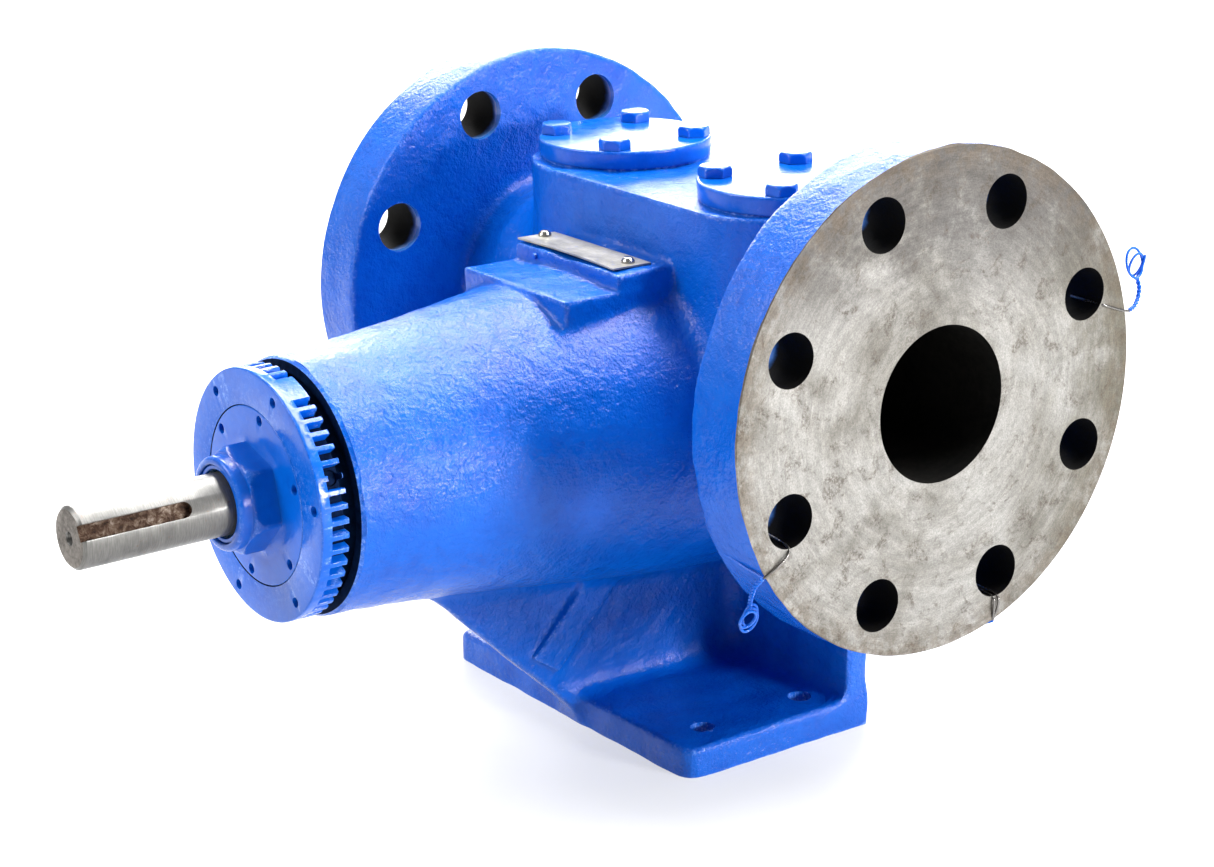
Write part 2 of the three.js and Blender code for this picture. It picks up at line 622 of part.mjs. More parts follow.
function rearHead() {
  const { frontY, backY, bolts, boltR, firstBolt, bossR, bossY } = HEAD;
  const rimR = CASING.rimR;
  const plate = turned([
    [0, frontY], [rimR, frontY], [rimR, backY - 2], [rimR - 2, backY],
    [bossR + 4, backY], [bossR, bossY], [0, bossY],
  ], 36);
  const drill = () => rod(BOLT_HOLE_R, frontY - 1, backY + 1, BOLT_SIDES);
  const pinHole = rod(IDLER.pinR + GAP, frontY - 1, bossY + 1, 20).translate(0, 0, IDLER.offset);
  return cut(join(plate, crescent()), pinHole, ...around(bolts, boltR, firstBolt, drill));
}

function headGasket() {
  const drill = () => rod(BOLT_HOLE_R, CASING.rearY - 1, HEAD.frontY + 1, BOLT_SIDES);
  const sheet = ring(CASING.chamberR + 1, CASING.rimR - 0.6, CASING.rearY, HEAD.frontY, 28);
  return cut(sheet, ...around(HEAD.bolts, HEAD.boltR, HEAD.firstBolt, drill));
}

function addHead() {
  shaftLine.add(part('rear_head', rearHead(), MATERIAL.enamel));
  shaftLine.add(part('head_gasket', headGasket(), MATERIAL.fibre));
  for (let i = 0; i < HEAD.bolts; i += 1) {
    const angle = (HEAD.firstBolt + (360 / HEAD.bolts) * i) * RAD;
    const bolt = part(`head_bolt_${i + 1}`, hexBolt({ ...HEX_BOLT, shank: HEAD.shank }), MATERIAL.enamel);
    bolt.rotation.x = -Math.PI / 2;
    bolt.position.set(HEAD.boltR * Math.cos(angle), HEAD.backY, HEAD.boltR * Math.sin(angle));
    shaftLine.add(bolt);
  }
}

function addGears() {
  const { offset, bushR, pinR } = IDLER;
  const y0 = ROTOR.discY + 0.6;
  const y1 = CASING.rearY + 0.3;
  shaftLine.add(part('rotor', rotor(), MATERIAL.iron));
  const idlerLine = new THREE.Group();
  idlerLine.position.z = offset;
  const gear = cut(prismY(idlerOutline(), y0, y1), rod(bushR, y0 - 1, y1 + 1, 20));
  idlerLine.add(part('idler_gear', gear, MATERIAL.iron));
  idlerLine.add(part('idler_bushing', ring(pinR + GAP, bushR - GAP, y0, y1, 20), MATERIAL.bronze));
  idlerLine.add(part('idler_pin', rod(pinR, y0, HEAD.bossY - 0.5, 20), MATERIAL.steel));
  shaftLine.add(idlerLine);
}

addHead();
addGears();

// ---------------------------------------------------------------- tag wires on the right flange
const WIRE_R = 0.65;
const FACE = FLANGE.face;

// Each wire comes out of a bolt hole, crosses the port face to the rim and ends in a short tail.
// A point is [distance in front of the port face, y, z].
const WIRE_ROUTES = [
  [
    [-24, 77, 199], [-8, 78, 198], [1.2, 79.5, 198], [1.5, 84, 196.5], [1.4, 94, 191.5], [1.3, 101, 188.6],
    [-1, 106.6, 187.9], [-4, 110.5, 191], [-5, 112, 196], [-6, 113.5, 201], [-6, 116.5, 205], [-5, 118.5, 209],
  ],
  [
    [-20, -77, 134.5], [-6, -77.6, 135], [1.2, -78.2, 134], [1.5, -80.5, 130], [1.4, -86, 121.5],
    [1.2, -89.4, 116.6], [-1, -92.8, 114], [-4, -94.4, 110], [-6, -94, 105], [-8, -92.5, 98], [-9, -91.5, 91],
  ],
  [
    [-20, 32, 90.8], [-4, 32.2, 90.3], [1.2, 32.4, 89], [1.5, 32.3, 84], [1.4, 32, 75], [1.2, 31.7, 69.4],
    [-1, 31.3, 66.1], [-4, 30.8, 65.2], [-8, 29.8, 64.7], [-12, 28, 64.4],
  ],
];

function tagWire(route) {
  const points = route.map(([ahead, y, z]) => new THREE.Vector3(FACE + ahead, y, z));
  const path = new THREE.CatmullRomCurve3(points, false, 'centripetal');
  const corners = [0, 72, 144, 216, 288];
  const section = polygon(corners.map((a) => [WIRE_R * Math.cos(a * RAD), WIRE_R * Math.sin(a * RAD)]));
  return new THREE.ExtrudeGeometry(section, { steps: 44, bevelEnabled: false, extrudePath: path });
}

WIRE_ROUTES.forEach((route, i) => pump.add(part(`tag_wire_${i + 1}`, tagWire(route), MATERIAL.steel)));

export default pump;
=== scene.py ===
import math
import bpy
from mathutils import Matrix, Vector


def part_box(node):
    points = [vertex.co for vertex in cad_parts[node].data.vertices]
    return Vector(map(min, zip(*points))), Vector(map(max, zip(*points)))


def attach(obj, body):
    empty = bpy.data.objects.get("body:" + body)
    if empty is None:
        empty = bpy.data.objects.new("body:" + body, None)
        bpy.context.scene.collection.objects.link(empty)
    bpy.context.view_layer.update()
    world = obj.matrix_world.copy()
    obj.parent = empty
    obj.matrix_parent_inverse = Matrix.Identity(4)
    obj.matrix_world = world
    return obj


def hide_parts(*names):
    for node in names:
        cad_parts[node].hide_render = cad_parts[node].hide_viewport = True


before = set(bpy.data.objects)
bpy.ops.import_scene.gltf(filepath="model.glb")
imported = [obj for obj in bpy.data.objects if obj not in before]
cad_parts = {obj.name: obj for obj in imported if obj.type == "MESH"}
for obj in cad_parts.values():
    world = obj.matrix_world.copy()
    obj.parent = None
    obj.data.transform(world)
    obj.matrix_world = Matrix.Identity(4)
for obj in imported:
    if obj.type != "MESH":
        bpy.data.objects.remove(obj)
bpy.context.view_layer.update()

# Looks of a foot-mounted internal gear pump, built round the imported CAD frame.
# Shapes are drawn in millimetres along the frame's axes and become metres when a mesh is made.
from types import SimpleNamespace as Sizes

import bmesh
import bpy
import numpy as np
import openvdb
from mathutils import Matrix, Vector

MM = 0.001


def box_mm(node):
    """Lowest and highest corner of a CAD node, in millimetres."""
    return tuple(np.array(corner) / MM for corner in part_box(node))


# ---- sizes, from the frame where it has them
BODY_LOW, BODY_HIGH = box_mm("pump_body")
RING_LOW, RING_HIGH = box_mm("bearing_housing")
CAP_LOW, _ = box_mm("end_cap")
SHAFT_LOW, SHAFT_HIGH = box_mm("drive_shaft")
HEAD_LOW, HEAD_HIGH = box_mm("rear_head")
COVER_LOW, COVER_HIGH = box_mm("valve_cover_right")

FLANGE_R = BODY_HIGH[1]
FACE_X = BODY_HIGH[0]
PORT_Z = BODY_HIGH[2] - FLANGE_R
SHAFT_Z = (HEAD_LOW[2] + HEAD_HIGH[2]) / 2
ON_SHAFT = (0, 0, SHAFT_Z)
NOSE_Y = BODY_LOW[1]
FLANGE = Sizes(thick=28.4, chamfer=1.0, holes=8, hole_r=11.1, pitch_r=84.1)
PORT_BORE_R = 32.4
PORT_BORE_END = 42
NECK = [(0, 48), (100, 47), (126, 42)]
BARREL = [(NOSE_Y - 40, 51.6), (NOSE_Y, 53.2), (-185, 54.4), (-150, 57.8), (-46, 71.3), (22, 75.8), (60, 78)]
REAR_RIM = Sizes(r=87.8, front_y=30, rear_y=47)
BEARING_BORE_R = 45.3
BEARING_BORE_END = -163
BRACKET_BORE = Sizes(r=34, end=-62, bushing_r=24.3)
CHAMBER = Sizes(r=62.5, front_y=-32)
CHEST = Sizes(half_straight=50, r=45.5, top=234.4, base=150)
PAD = Sizes(half_x=37.3, front_y=-100.7, step_y=-74.2, ramp_y=-46, back_y=-20, low_z=202.2, high_z=209)
FOOT = Sizes(left=-91, right=84, front_y=-74.6, back_y=24.6, thick=13.5, left_corner=7, right_corner=10)
FOOT_HOLE = Sizes(r=5.2, x=66.5, ys=(-53.6, -0.2))
WEB_HALF = 5
BACK_PLATE_Y = 12.8

RING_R = RING_HIGH[0]
RING = Sizes(front_y=RING_LOW[1], band_y=-221.2, back_y=-213.9, groove_r=47.3, teeth=54, end_y=RING_HIGH[1])
RING_BORE_R = 37
SOCKET_ANGLE = 21.3
SOCKET_R = 3.2
SPANNER_HOLE_R = 2.15
BLOCK_FIRST, BLOCK_LAST = 6, 7
CAP_BACK_Y = -207.5
HUB = Sizes(flats=39, corner_r=22.1, front_y=-238, nose_y=CAP_LOW[1], nose_r=19.3, bore_r=16, turn=-16)
SEAL_BACK_Y = -231
SHAFT_R = 12.7
COLLAR = Sizes(r=17.5, front_y=-218, back_y=-182)
THREAD_RELIEF_R = 15.5
REAR_SHAFT = Sizes(r=19, front_y=-179)
KEYWAY = Sizes(width=6.35, depth=3.2, angle=25, end_y=-260.5)
VALVE_X = 57
VALVE_BORE_R = 24
HEAD_PLATE_FRONT, HEAD_PLATE_BACK = 47.8, 63.8
HEAD_BOSS_R = 32
IDLER_PIN_R = 13
CRESCENT = Sizes(outer_r=40.4, inner_r=46.7, front_y=-19.4, below_shaft=14)
IDLER_OFFSET = 14
BOLT_FLATS = 12.7
BOLT_HEAD = 4.6


# ---- mesh helpers
def link(obj):
    bpy.context.scene.collection.objects.link(obj)
    return obj


def mesh_object(name, points, faces, *materials):
    """A new object from points in millimetres, with its faces turned outward and shaded smooth."""
    mesh = bpy.data.meshes.new(name)
    mesh.from_pydata((np.asarray(points, float) * MM).tolist(), [], faces)
    work = bmesh.new()
    work.from_mesh(mesh)
    bmesh.ops.recalc_face_normals(work, faces=work.faces)
    work.to_mesh(mesh)
    work.free()
    for material in materials:
        mesh.materials.append(material)
    mesh.shade_smooth()
    return link(bpy.data.objects.new(name, mesh))


def sharpen(obj, degrees):
    obj.data.shade_smooth()
    obj.data.set_sharp_from_angle(angle=math.radians(degrees))


def settle(obj):
    """Applies the object's modifiers to its mesh."""
    bpy.context.view_layer.update()
    done = obj.evaluated_get(bpy.context.evaluated_depsgraph_get())
    obj.data = bpy.data.meshes.new_from_object(done)
    obj.modifiers.clear()


def carve(obj, *cutters, operation="DIFFERENCE"):
    """Cuts closed bodies out of the object, or joins them to it, and removes them."""
    for cutter in cutters:
        step = obj.modifiers.new("carve", "BOOLEAN")
        step.object = cutter
        step.operation = operation
        step.solver = "MANIFOLD"
    settle(obj)
    for cutter in cutters:
        bpy.data.objects.remove(cutter)


def soften(obj, width_mm, degrees):
    """Rounds the edges sharper than an angle a little, as a coat of paint or long use does."""
    step = obj.modifiers.new("soften", "BEVEL")
    step.width = width_mm * MM
    step.segments = 2
    step.limit_method = "ANGLE"
    step.angle_limit = math.radians(degrees)
    settle(obj)


ARC_POINTS = 5


def rounded(outline, closed=False):
    """An outline of (a, b) or (a, b, radius) points, with a curve at each corner that has a radius."""
    points = []
    count = len(outline)
    for i, corner in enumerate(outline):
        here = np.array(corner[:2], float)
        if len(corner) == 2 or (not closed and i in (0, count - 1)):
            points.append(tuple(here))
            continue
        back, ahead = (np.array(outline[j % count][:2], float) - here for j in (i - 1, i + 1))
        back /= np.linalg.norm(back)
        ahead /= np.linalg.norm(ahead)
        reach = corner[2] / math.tan(math.acos(np.clip(back @ ahead, -1, 1)) / 2)
        start, end = here + back * reach, here + ahead * reach
        for t in np.linspace(0, 1, ARC_POINTS):
            points.append(tuple((1 - t) ** 2 * start + 2 * t * (1 - t) * here + t * t * end))
    return points


AXIS_ORDER = {"X": (1, 0, 2), "Y": (0, 1, 2), "Z": (0, 2, 1)}


def turned(profile, segments=96, closed=False, axis="Y", centre=(0, 0, 0), radius_at=None):
    """Points and faces of a body turned about an axis, from its outline of (radius, along) points.

    radius_at(radius, along, angles) can change the radii of one ring of points.
    """
    angles = np.linspace(0, 2 * math.pi, segments, endpoint=False)
    points, rings = [], []
    for radius, along in profile:
        if radius == 0:
            rings.append([len(points)] * segments)
            points.append((0, along, 0))
            continue
        radii = np.full(segments, radius) if radius_at is None else radius_at(radius, along, angles)
        rings.append(list(range(len(points), len(points) + segments)))
        points.extend(zip(radii * np.cos(angles), np.full(segments, along), radii * np.sin(angles)))
    faces = []
    pairs = list(zip(rings, rings[1:]))
    if closed:
        pairs.append((rings[-1], rings[0]))
    for low, high in pairs:
        for i in range(segments):
            j = (i + 1) % segments
            face = list(dict.fromkeys((low[i], low[j], high[j], high[i])))
            if len(face) > 2:
                faces.append(face)
    placed = np.array(points, float)[:, AXIS_ORDER[axis]] + np.array(centre, float)
    return placed, faces


def lathe(name, profile, *materials, centre=ON_SHAFT, **settings):
    return mesh_object(name, *turned(profile, centre=centre, **settings), *materials)


def rod(radius, start, end, segments=48, **settings):
    """Points and faces of a plain round bar."""
    return turned([(0, start), (radius, start), (radius, end), (0, end)], segments, **settings)


def spun(points, degrees):
    """Points turned about the Y axis."""
    return points @ np.array(Matrix.Rotation(math.radians(degrees), 3, "Y")).T


def merge(shapes):
    """One set of points and faces from several separate ones."""
    points, faces = [], []
    for shape_points, shape_faces in shapes:
        faces.extend([[i + len(points) for i in face] for face in shape_faces])
        points.extend(map(tuple, shape_points))
    return points, faces


def prism(outline, low, high):
    """Points and faces of an upright prism over an outline of (x, y) points."""
    points = [(x, y, level) for level in (low, high) for x, y in outline]
    count = len(outline)
    faces = [list(range(count))[::-1], list(range(count, 2 * count))]
    faces += [[i, (i + 1) % count, count + (i + 1) % count, count + i] for i in range(count)]
    return np.array(points, float), faces


def on_circle(count, radius, start_degrees):
    """Evenly spaced (a, b) points on a circle."""
    angles = [math.radians(start_degrees + 360 / count * i) for i in range(count)]
    return [(radius * math.cos(a), radius * math.sin(a)) for a in angles]


FLANGE_HOLES = on_circle(FLANGE.holes, FLANGE.pitch_r, 180 / FLANGE.holes)


def finish_piece(obj, crisp, slot, *nodes, body="casing"):
    """Keeps edges sharper than crisp degrees crisp, parents the piece to its body's empty and hides the CAD
    nodes that it stands in for; slot is not used.
    """
    if crisp:
        sharpen(obj, crisp)
    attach(obj, body)
    if nodes:
        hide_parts(*nodes)


# ---- procedural materials
class Shader:
    """A small builder of node materials on one Principled shader. Sizes are in millimetres."""

    def __init__(self, name):
        self.material = bpy.data.materials.new(name)
        self.material.use_nodes = True
        self.tree = self.material.node_tree
        self.bsdf = self.tree.nodes["Principled BSDF"]
        self.place = self.node("TexCoord").outputs["Object"]

    def node(self, kind, **settings):
        node = self.tree.nodes.new("ShaderNode" + kind)
        for key, value in settings.items():
            setattr(node, key, value)
        return node

    def join(self, value, socket):
        if isinstance(value, bpy.types.NodeSocket):
            self.tree.links.new(value, socket)
        else:
            socket.default_value = value

    def noise(self, size, detail=3, roughness=0.55, distortion=0, at=None):
        node = self.node("TexNoise")
        self.join(self.place if at is None else at, node.inputs["Vector"])
        node.inputs["Scale"].default_value = 1 / (size * MM)
        for key, value in (("Detail", detail), ("Roughness", roughness), ("Distortion", distortion)):
            node.inputs[key].default_value = value
        return node.outputs["Fac"]

    def streaks(self, size, detail, scale, turn=0.0):
        """Noise drawn out along the axes with a small scale, then turned a little about Z."""
        node = self.node("Mapping")
        self.join(self.place, node.inputs["Vector"])
        node.inputs["Scale"].default_value = scale
        node.inputs["Rotation"].default_value = (0, 0, turn)
        return self.noise(size, detail, 0.6, at=node.outputs[0])

    def math(self, operation, first, second=0.0):
        node = self.node("Math", operation=operation)
        self.join(first, node.inputs[0])
        self.join(second, node.inputs[1])
        return node.outputs[0]

    def times(self, first, second):
        return self.math("MULTIPLY", first, second)

    def band(self, value, low, high, to_low=0.0, to_high=1.0):
        """value mapped from low…high to to_low…to_high with soft ends."""
        node = self.node("MapRange", interpolation_type="SMOOTHSTEP")
        for socket, number in zip(node.inputs, (value, low, high, to_low, to_high)):
            self.join(number, socket)
        return node.outputs[0]

    def mix(self, factor, first, second, blend="MIX"):
        node = self.node("Mix", data_type="RGBA", blend_type=blend)
        self.join(factor, node.inputs["Factor"])
        for socket, value in ((node.inputs[6], first), (node.inputs[7], second)):
            self.join(value if isinstance(value, bpy.types.NodeSocket) else (*value, 1), socket)
        return node.outputs[2]

    def stain(self, colour, tint, amount, mask, *more):
        """The colour mixed toward a tint where all the masks are high."""
        for other in more:
            mask = self.times(mask, other)
        return self.mix(self.times(mask, amount), colour, tint)

    def ramp(self, value, *stops):
        node = self.node("ValToRGB")
        self.join(value, node.inputs[0])
        elements = node.color_ramp.elements
        while len(elements) < len(stops):
            elements.new(0.5)
        for element, (position, colour) in zip(elements, stops):
            element.position = position
            element.color = (*colour, 1)
        return node.outputs[0]

    def bump(self, height, depth, normal=None):
        node = self.node("Bump")
        self.join(height, node.inputs["Height"])
        node.inputs["Strength"].default_value = 1.0
        node.inputs["Distance"].default_value = depth * MM
        if normal is not None:
            self.join(normal, node.inputs["Normal"])
        return node.outputs[0]

    def axes(self):
        node = self.node("SeparateXYZ")
        self.join(self.place, node.inputs[0])
        return node.outputs

    def radius_from(self, first, second, centre=0.0):
        """Distance in metres from an axis, from two coordinates across it."""
        lifted = self.math("SUBTRACT", second, centre * MM)
        squares = self.math("ADD", self.times(first, first), self.times(lifted, lifted))
        return self.math("SQRT", squares)

    def pointiness(self):
        """Above 0.5 on convex edges, and below it in hollows."""
        return self.node("NewGeometry").outputs["Pointiness"]

    def grey(self, value):
        node = self.node("CombineColor")
        for socket in node.inputs:
            self.join(value, socket)
        return node.outputs[0]

    def set(self, **values):
        for key, value in values.items():
            self.join(value, self.bsdf.inputs[key.replace("_", " ")])
        return self.material


def enamel(name, lumps, fine, edge_rub_and_highlight=1.0):
    """Gloss blue enamel brushed over cast or turned iron. lumps and fine are bump depths in millimetres. The
    last argument scales a lighter blue on convex edges, partly paint rubbed thin and partly a painted
    highlight; hollows get a painted shade of darker blue.
    """
    s = Shader(name)
    wide = s.noise(34, 4)
    patches = s.noise(6, 5, 0.6)
    colour = s.ramp(
        s.math("ADD", s.times(wide, 0.55), s.times(patches, 0.45)),
        (0.34, (0.0004, 0.072, 0.43)), (0.50, (0.0006, 0.092, 0.50)), (0.66, (0.001, 0.108, 0.55)),
    )
    speckle = s.band(s.noise(1.5, 4, 0.75), 0.50, 0.64)
    # Lighter blue in speckled spots on convex edges: partly paint rubbed thin, partly a painted highlight.
    rubbed_and_highlit_edges = s.times(s.band(s.pointiness(), 0.512, 0.56), s.band(s.noise(2.6, 4, 0.7), 0.40, 0.60))
    chip_and_glint_spots = s.math("ADD", 0.25, s.times(speckle, 0.75))
    colour = s.stain(colour, (0.30, 0.50, 0.92), 0.6 * edge_rub_and_highlight, rubbed_and_highlit_edges, chip_and_glint_spots)
    # Painted shade: darker blue in the hollows, where pointiness is low.
    colour = s.stain(colour, (0.0005, 0.035, 0.30), 0.45, s.band(s.pointiness(), 0.40, 0.485, 1.0, 0.0))
    relief = s.bump(s.noise(6, 2, 0.5), lumps * 1.1)
    relief = s.bump(s.noise(2.2, 3, 0.6), lumps, relief)
    relief = s.bump(s.noise(0.9, 2, 0.5), fine, relief)
    gloss = s.band(s.noise(5, 4, 0.6), 0.3, 0.7, 0.14, 0.24)
    return s.set(
        Base_Color=colour, Roughness=gloss, Normal=relief, Specular_IOR_Level=0.29,
        Specular_Tint=(1.0, 0.90, 1.0, 1),
    )


def bare_flange():
    """Faced iron of the port flanges: faint lathe rings, grey-brown clouds, grime and thin rust."""
    s = Shader("bare_flange")
    _, y, z = s.axes()
    radius = s.radius_from(y, z, PORT_Z)
    around = s.math("ARCTAN2", s.math("SUBTRACT", z, PORT_Z * MM), y)
    stretched = s.node("CombineXYZ")
    s.join(radius, stretched.inputs[0])
    s.join(s.times(around, 0.012), stretched.inputs[1])
    rings = s.noise(0.5, 3, 0.6, at=stretched.outputs[0])
    wide_rings = s.noise(3.0, 4, 0.6, at=stretched.outputs[0])
    height = s.math("DIVIDE", s.math("SUBTRACT", z, PORT_Z * MM), FLANGE_R * MM)
    aside = s.math("DIVIDE", y, FLANGE_R * MM)
    clouds = s.noise(42, 6, 0.62, 0.6)
    speck = s.noise(1.3, 5, 0.8)
    colour = s.ramp(
        clouds, (0.32, (0.115, 0.105, 0.090)), (0.44, (0.190, 0.181, 0.163)), (0.56, (0.262, 0.253, 0.236)),
        (0.70, (0.300, 0.293, 0.278)),
    )
    olive = s.band(s.noise(30, 5, 0.65), 0.34, 0.60)
    colour = s.stain(colour, (0.095, 0.086, 0.062), 0.85, s.band(aside, 0.25, 0.95), olive)
    # Darker grey-brown in cloudy patches toward the top of the face.
    patchy_top_darkening = s.band(s.noise(24, 6, 0.7), 0.28, 0.54)
    colour = s.stain(colour, (0.065, 0.059, 0.056), 0.82, s.band(height, 0.22, 0.72), patchy_top_darkening)
    grime = s.times(s.band(s.noise(10, 6, 0.68, 0.8), 0.50, 0.66), s.band(speck, 0.36, 0.60))
    colour = s.stain(colour, (0.080, 0.064, 0.050), 0.8, grime)
    edge = s.band(radius, 0.088, 0.1035)
    colour = s.stain(colour, (0.095, 0.070, 0.046), 0.60, edge, s.band(s.noise(8, 5, 0.7), 0.38, 0.58))
    rust = s.band(speck, 0.60, 0.72)
    colour = s.stain(colour, (0.17, 0.085, 0.045), 0.75, rust, s.band(s.noise(15, 3), 0.46, 0.64))
    grain = s.band(s.noise(0.7, 4, 0.75), 0.34, 0.66, 0.80, 1.16)
    turning = s.times(s.band(wide_rings, 0.35, 0.68, 0.86, 1.12), s.band(rings, 0.35, 0.65, 0.90, 1.08))
    colour = s.mix(1.0, colour, s.grey(s.times(grain, turning)), "MULTIPLY")
    relief = s.bump(rings, 0.03)
    relief = s.bump(s.noise(0.6, 4, 0.7), 0.05, relief)
    gloss = s.math("ADD", s.band(clouds, 0.3, 0.7, 0.52, 0.40), s.times(grime, 0.2))
    return s.set(Base_Color=colour, Metallic=0.6, Roughness=gloss, Normal=relief)


def steel(name, tone, grain=0.35, rust=0.12, gloss=(0.22, 0.36), metal=0.95):
    """Ground or drawn steel with fine lines round the Y axis, faint grime and rust."""
    s = Shader(name)
    lines = s.streaks(grain, 3, (0.06, 1.0, 0.06))
    clouds = s.noise(14, 5, 0.6)
    speck = s.noise(1.4, 4, 0.7)
    dark = tuple(0.55 * c for c in tone)
    colour = s.ramp(clouds, (0.32, dark), (0.52, tone), (0.72, tuple(1.15 * c for c in tone)))
    colour = s.mix(s.band(lines, 0.3, 0.7, 0.0, 0.75), colour, dark)
    spots = s.band(speck, 0.56, 0.72)
    colour = s.stain(colour, (0.17, 0.075, 0.035), rust * 5, spots, s.band(s.noise(9, 3), 0.45, 0.65))
    relief = s.bump(s.noise(0.8, 3), 0.02, s.bump(lines, 0.05))
    roughness = s.band(clouds, 0.3, 0.7, gloss[1], gloss[0])
    return s.set(Base_Color=colour, Metallic=metal, Roughness=roughness, Normal=relief)


def rusty():
    """Brown mottled rust on the floor and walls of the keyway."""
    s = Shader("rusty_keyway")
    blots = s.noise(3.2, 6, 0.7, 0.5)
    colour = s.ramp(
        blots, (0.34, (0.012, 0.007, 0.005)), (0.46, (0.060, 0.028, 0.014)), (0.56, (0.11, 0.070, 0.045)),
        (0.68, (0.26, 0.21, 0.17)),
    )
    relief = s.bump(s.noise(1.1, 5, 0.7), 0.12)
    gloss = s.band(blots, 0.4, 0.65, 0.8, 0.45)
    return s.set(Base_Color=colour, Metallic=0.45, Roughness=gloss, Normal=relief)


def plain(name, dark, light, metallic, gloss, size=2.0, depth=0.03, shine=0.5):
    """Two tones of one stuff in fine mottling, for inner and small parts."""
    s = Shader(name)
    mottle = s.math("ADD", s.times(s.noise(size * 6, 4), 0.5), s.times(s.noise(size, 4, 0.65), 0.5))
    colour = s.ramp(mottle, (0.36, dark), (0.62, light))
    relief = s.bump(s.noise(size * 0.5, 4, 0.6), depth)
    roughness = s.band(mottle, 0.35, 0.65, gloss + 0.1, gloss)
    return s.set(
        Base_Color=colour, Metallic=metallic, Roughness=roughness, Normal=relief, Specular_IOR_Level=shine,
    )


def drilled_wall():
    """Walls of the flange holes: a black painted shade inside, with paint round the mouth behind the flange.
    """
    s = Shader("drilled_wall")
    x, _, _ = s.axes()
    back = (FACE_X - FLANGE.thick) * MM
    ragged = s.times(s.noise(5, 3), 4 * MM)
    depth = s.math("ADD", s.math("ABSOLUTE", x), ragged)
    paint = s.band(depth, back + 3.5 * MM, back + 10 * MM, 1.0, 0.0)
    # Near black deep in the holes is painted shade; the blue near the back face is overspray.
    colour = s.mix(paint, (0.004, 0.0035, 0.003), (0.03, 0.22, 0.72))
    relief = s.bump(s.noise(1.2, 3, 0.6), 0.15)
    return s.set(
        Base_Color=colour, Roughness=s.band(paint, 0.0, 1.0, 0.75, 0.25), Normal=relief,
        Specular_IOR_Level=s.band(paint, 0.0, 1.0, 0.08, 0.5),
    )


def stamped_plate():
    """Dull steel of the blank nameplate, with dark scratches, dents and a little blue overspray."""
    s = Shader("stamped_plate")
    colour = s.ramp(
        s.noise(9, 5, 0.6), (0.34, (0.22, 0.212, 0.178)), (0.55, (0.34, 0.323, 0.28)),
        (0.70, (0.44, 0.425, 0.375)),
    )
    colour = s.stain(colour, (0.03, 0.12, 0.5), 0.5, s.band(s.noise(2.4, 4, 0.7), 0.62, 0.70))
    lines = s.streaks(0.5, 4, (0.08, 1.0, 1.0), turn=0.12)
    relief = s.bump(lines, 0.03, s.bump(s.noise(6, 2), 0.25))
    colour = s.mix(s.band(lines, 0.56, 0.70, 0.0, 0.55), colour, (0.16, 0.15, 0.13))
    gloss = s.band(lines, 0.3, 0.7, 0.30, 0.48)
    return s.set(Base_Color=colour, Metallic=0.45, Roughness=gloss, Normal=relief)


CAST = enamel("enamel_cast", 0.58, 0.24)
SMOOTH = enamel("enamel_smooth", 0.12, 0.04)
FLANGE_FACE = bare_flange()
HOLE_WALL = drilled_wall()
# Near-black painted shade inside the port bores, the chamber and the bracket bore.
PORT_WALL = plain("black_bore_shade", (0.003, 0.003, 0.003), (0.010, 0.009, 0.008), 0.0, 0.5, 3.0, shine=0.15)
GROUND = steel("ground_steel", (0.180, 0.176, 0.167), gloss=(0.30, 0.42), metal=0.7)
SHAFT_END = plain("weathered_end", (0.055, 0.045, 0.038), (0.20, 0.18, 0.16), 0.6, 0.5, 2.0, 0.08)
BRIGHT = steel("bright_steel", (0.40, 0.39, 0.37), grain=0.3, rust=0.02, gloss=(0.18, 0.28))
KEYWAY_RUST = rusty()
DARK_STEEL = steel("dark_steel", (0.17, 0.17, 0.175), rust=0.03)
GEAR_IRON = plain("gear_iron", (0.10, 0.10, 0.10), (0.24, 0.24, 0.24), 0.8, 0.4)
BRONZE = plain("bearing_bronze", (0.32, 0.17, 0.06), (0.55, 0.33, 0.13), 0.9, 0.3)
RUBBER = plain("nitrile_rubber", (0.008, 0.008, 0.009), (0.03, 0.03, 0.032), 0.0, 0.55)
FIBRE = plain("fibre_gasket", (0.05, 0.06, 0.10), (0.13, 0.13, 0.16), 0.0, 0.75, 1.2)
# Dark navy painted shade for places that lie in shadow: the nose rim behind the bearing ring, the groove
# floors and back of the ring, and the set screw's socket.
PAINTED_SHADE = plain("dark_navy_painted_shade", (0.0008, 0.004, 0.016), (0.003, 0.014, 0.05), 0.0, 0.6, 2.5, shine=0.03)
LIP = plain("oily_lip", (0.012, 0.045, 0.11), (0.03, 0.10, 0.21), 0.0, 0.25, 1.5)
CARBON = plain("seal_carbon", (0.01, 0.01, 0.011), (0.035, 0.035, 0.036), 0.1, 0.35)
PLATE = stamped_plate()
WIRE = steel("wire_steel", (0.22, 0.21, 0.20))
WIRE_BLUE = enamel("wire_enamel", 0.03, 0.02, 0.3)


# ---- pump body casting
VOXEL = 1.2
WAVE_STEEPNESS = 0.0045
WAVE_ROOM = 0.6


def smooth_min(first, second, reach):
    """The union of two distance fields, with a fillet of about that radius."""
    return np.minimum(first, second) - np.maximum(reach - np.abs(first - second), 0) ** 2 / (4 * reach)


def smooth_max(first, second, reach):
    """The overlap of two distance fields, with its edge rounded."""
    return -smooth_min(-first, -second, reach)


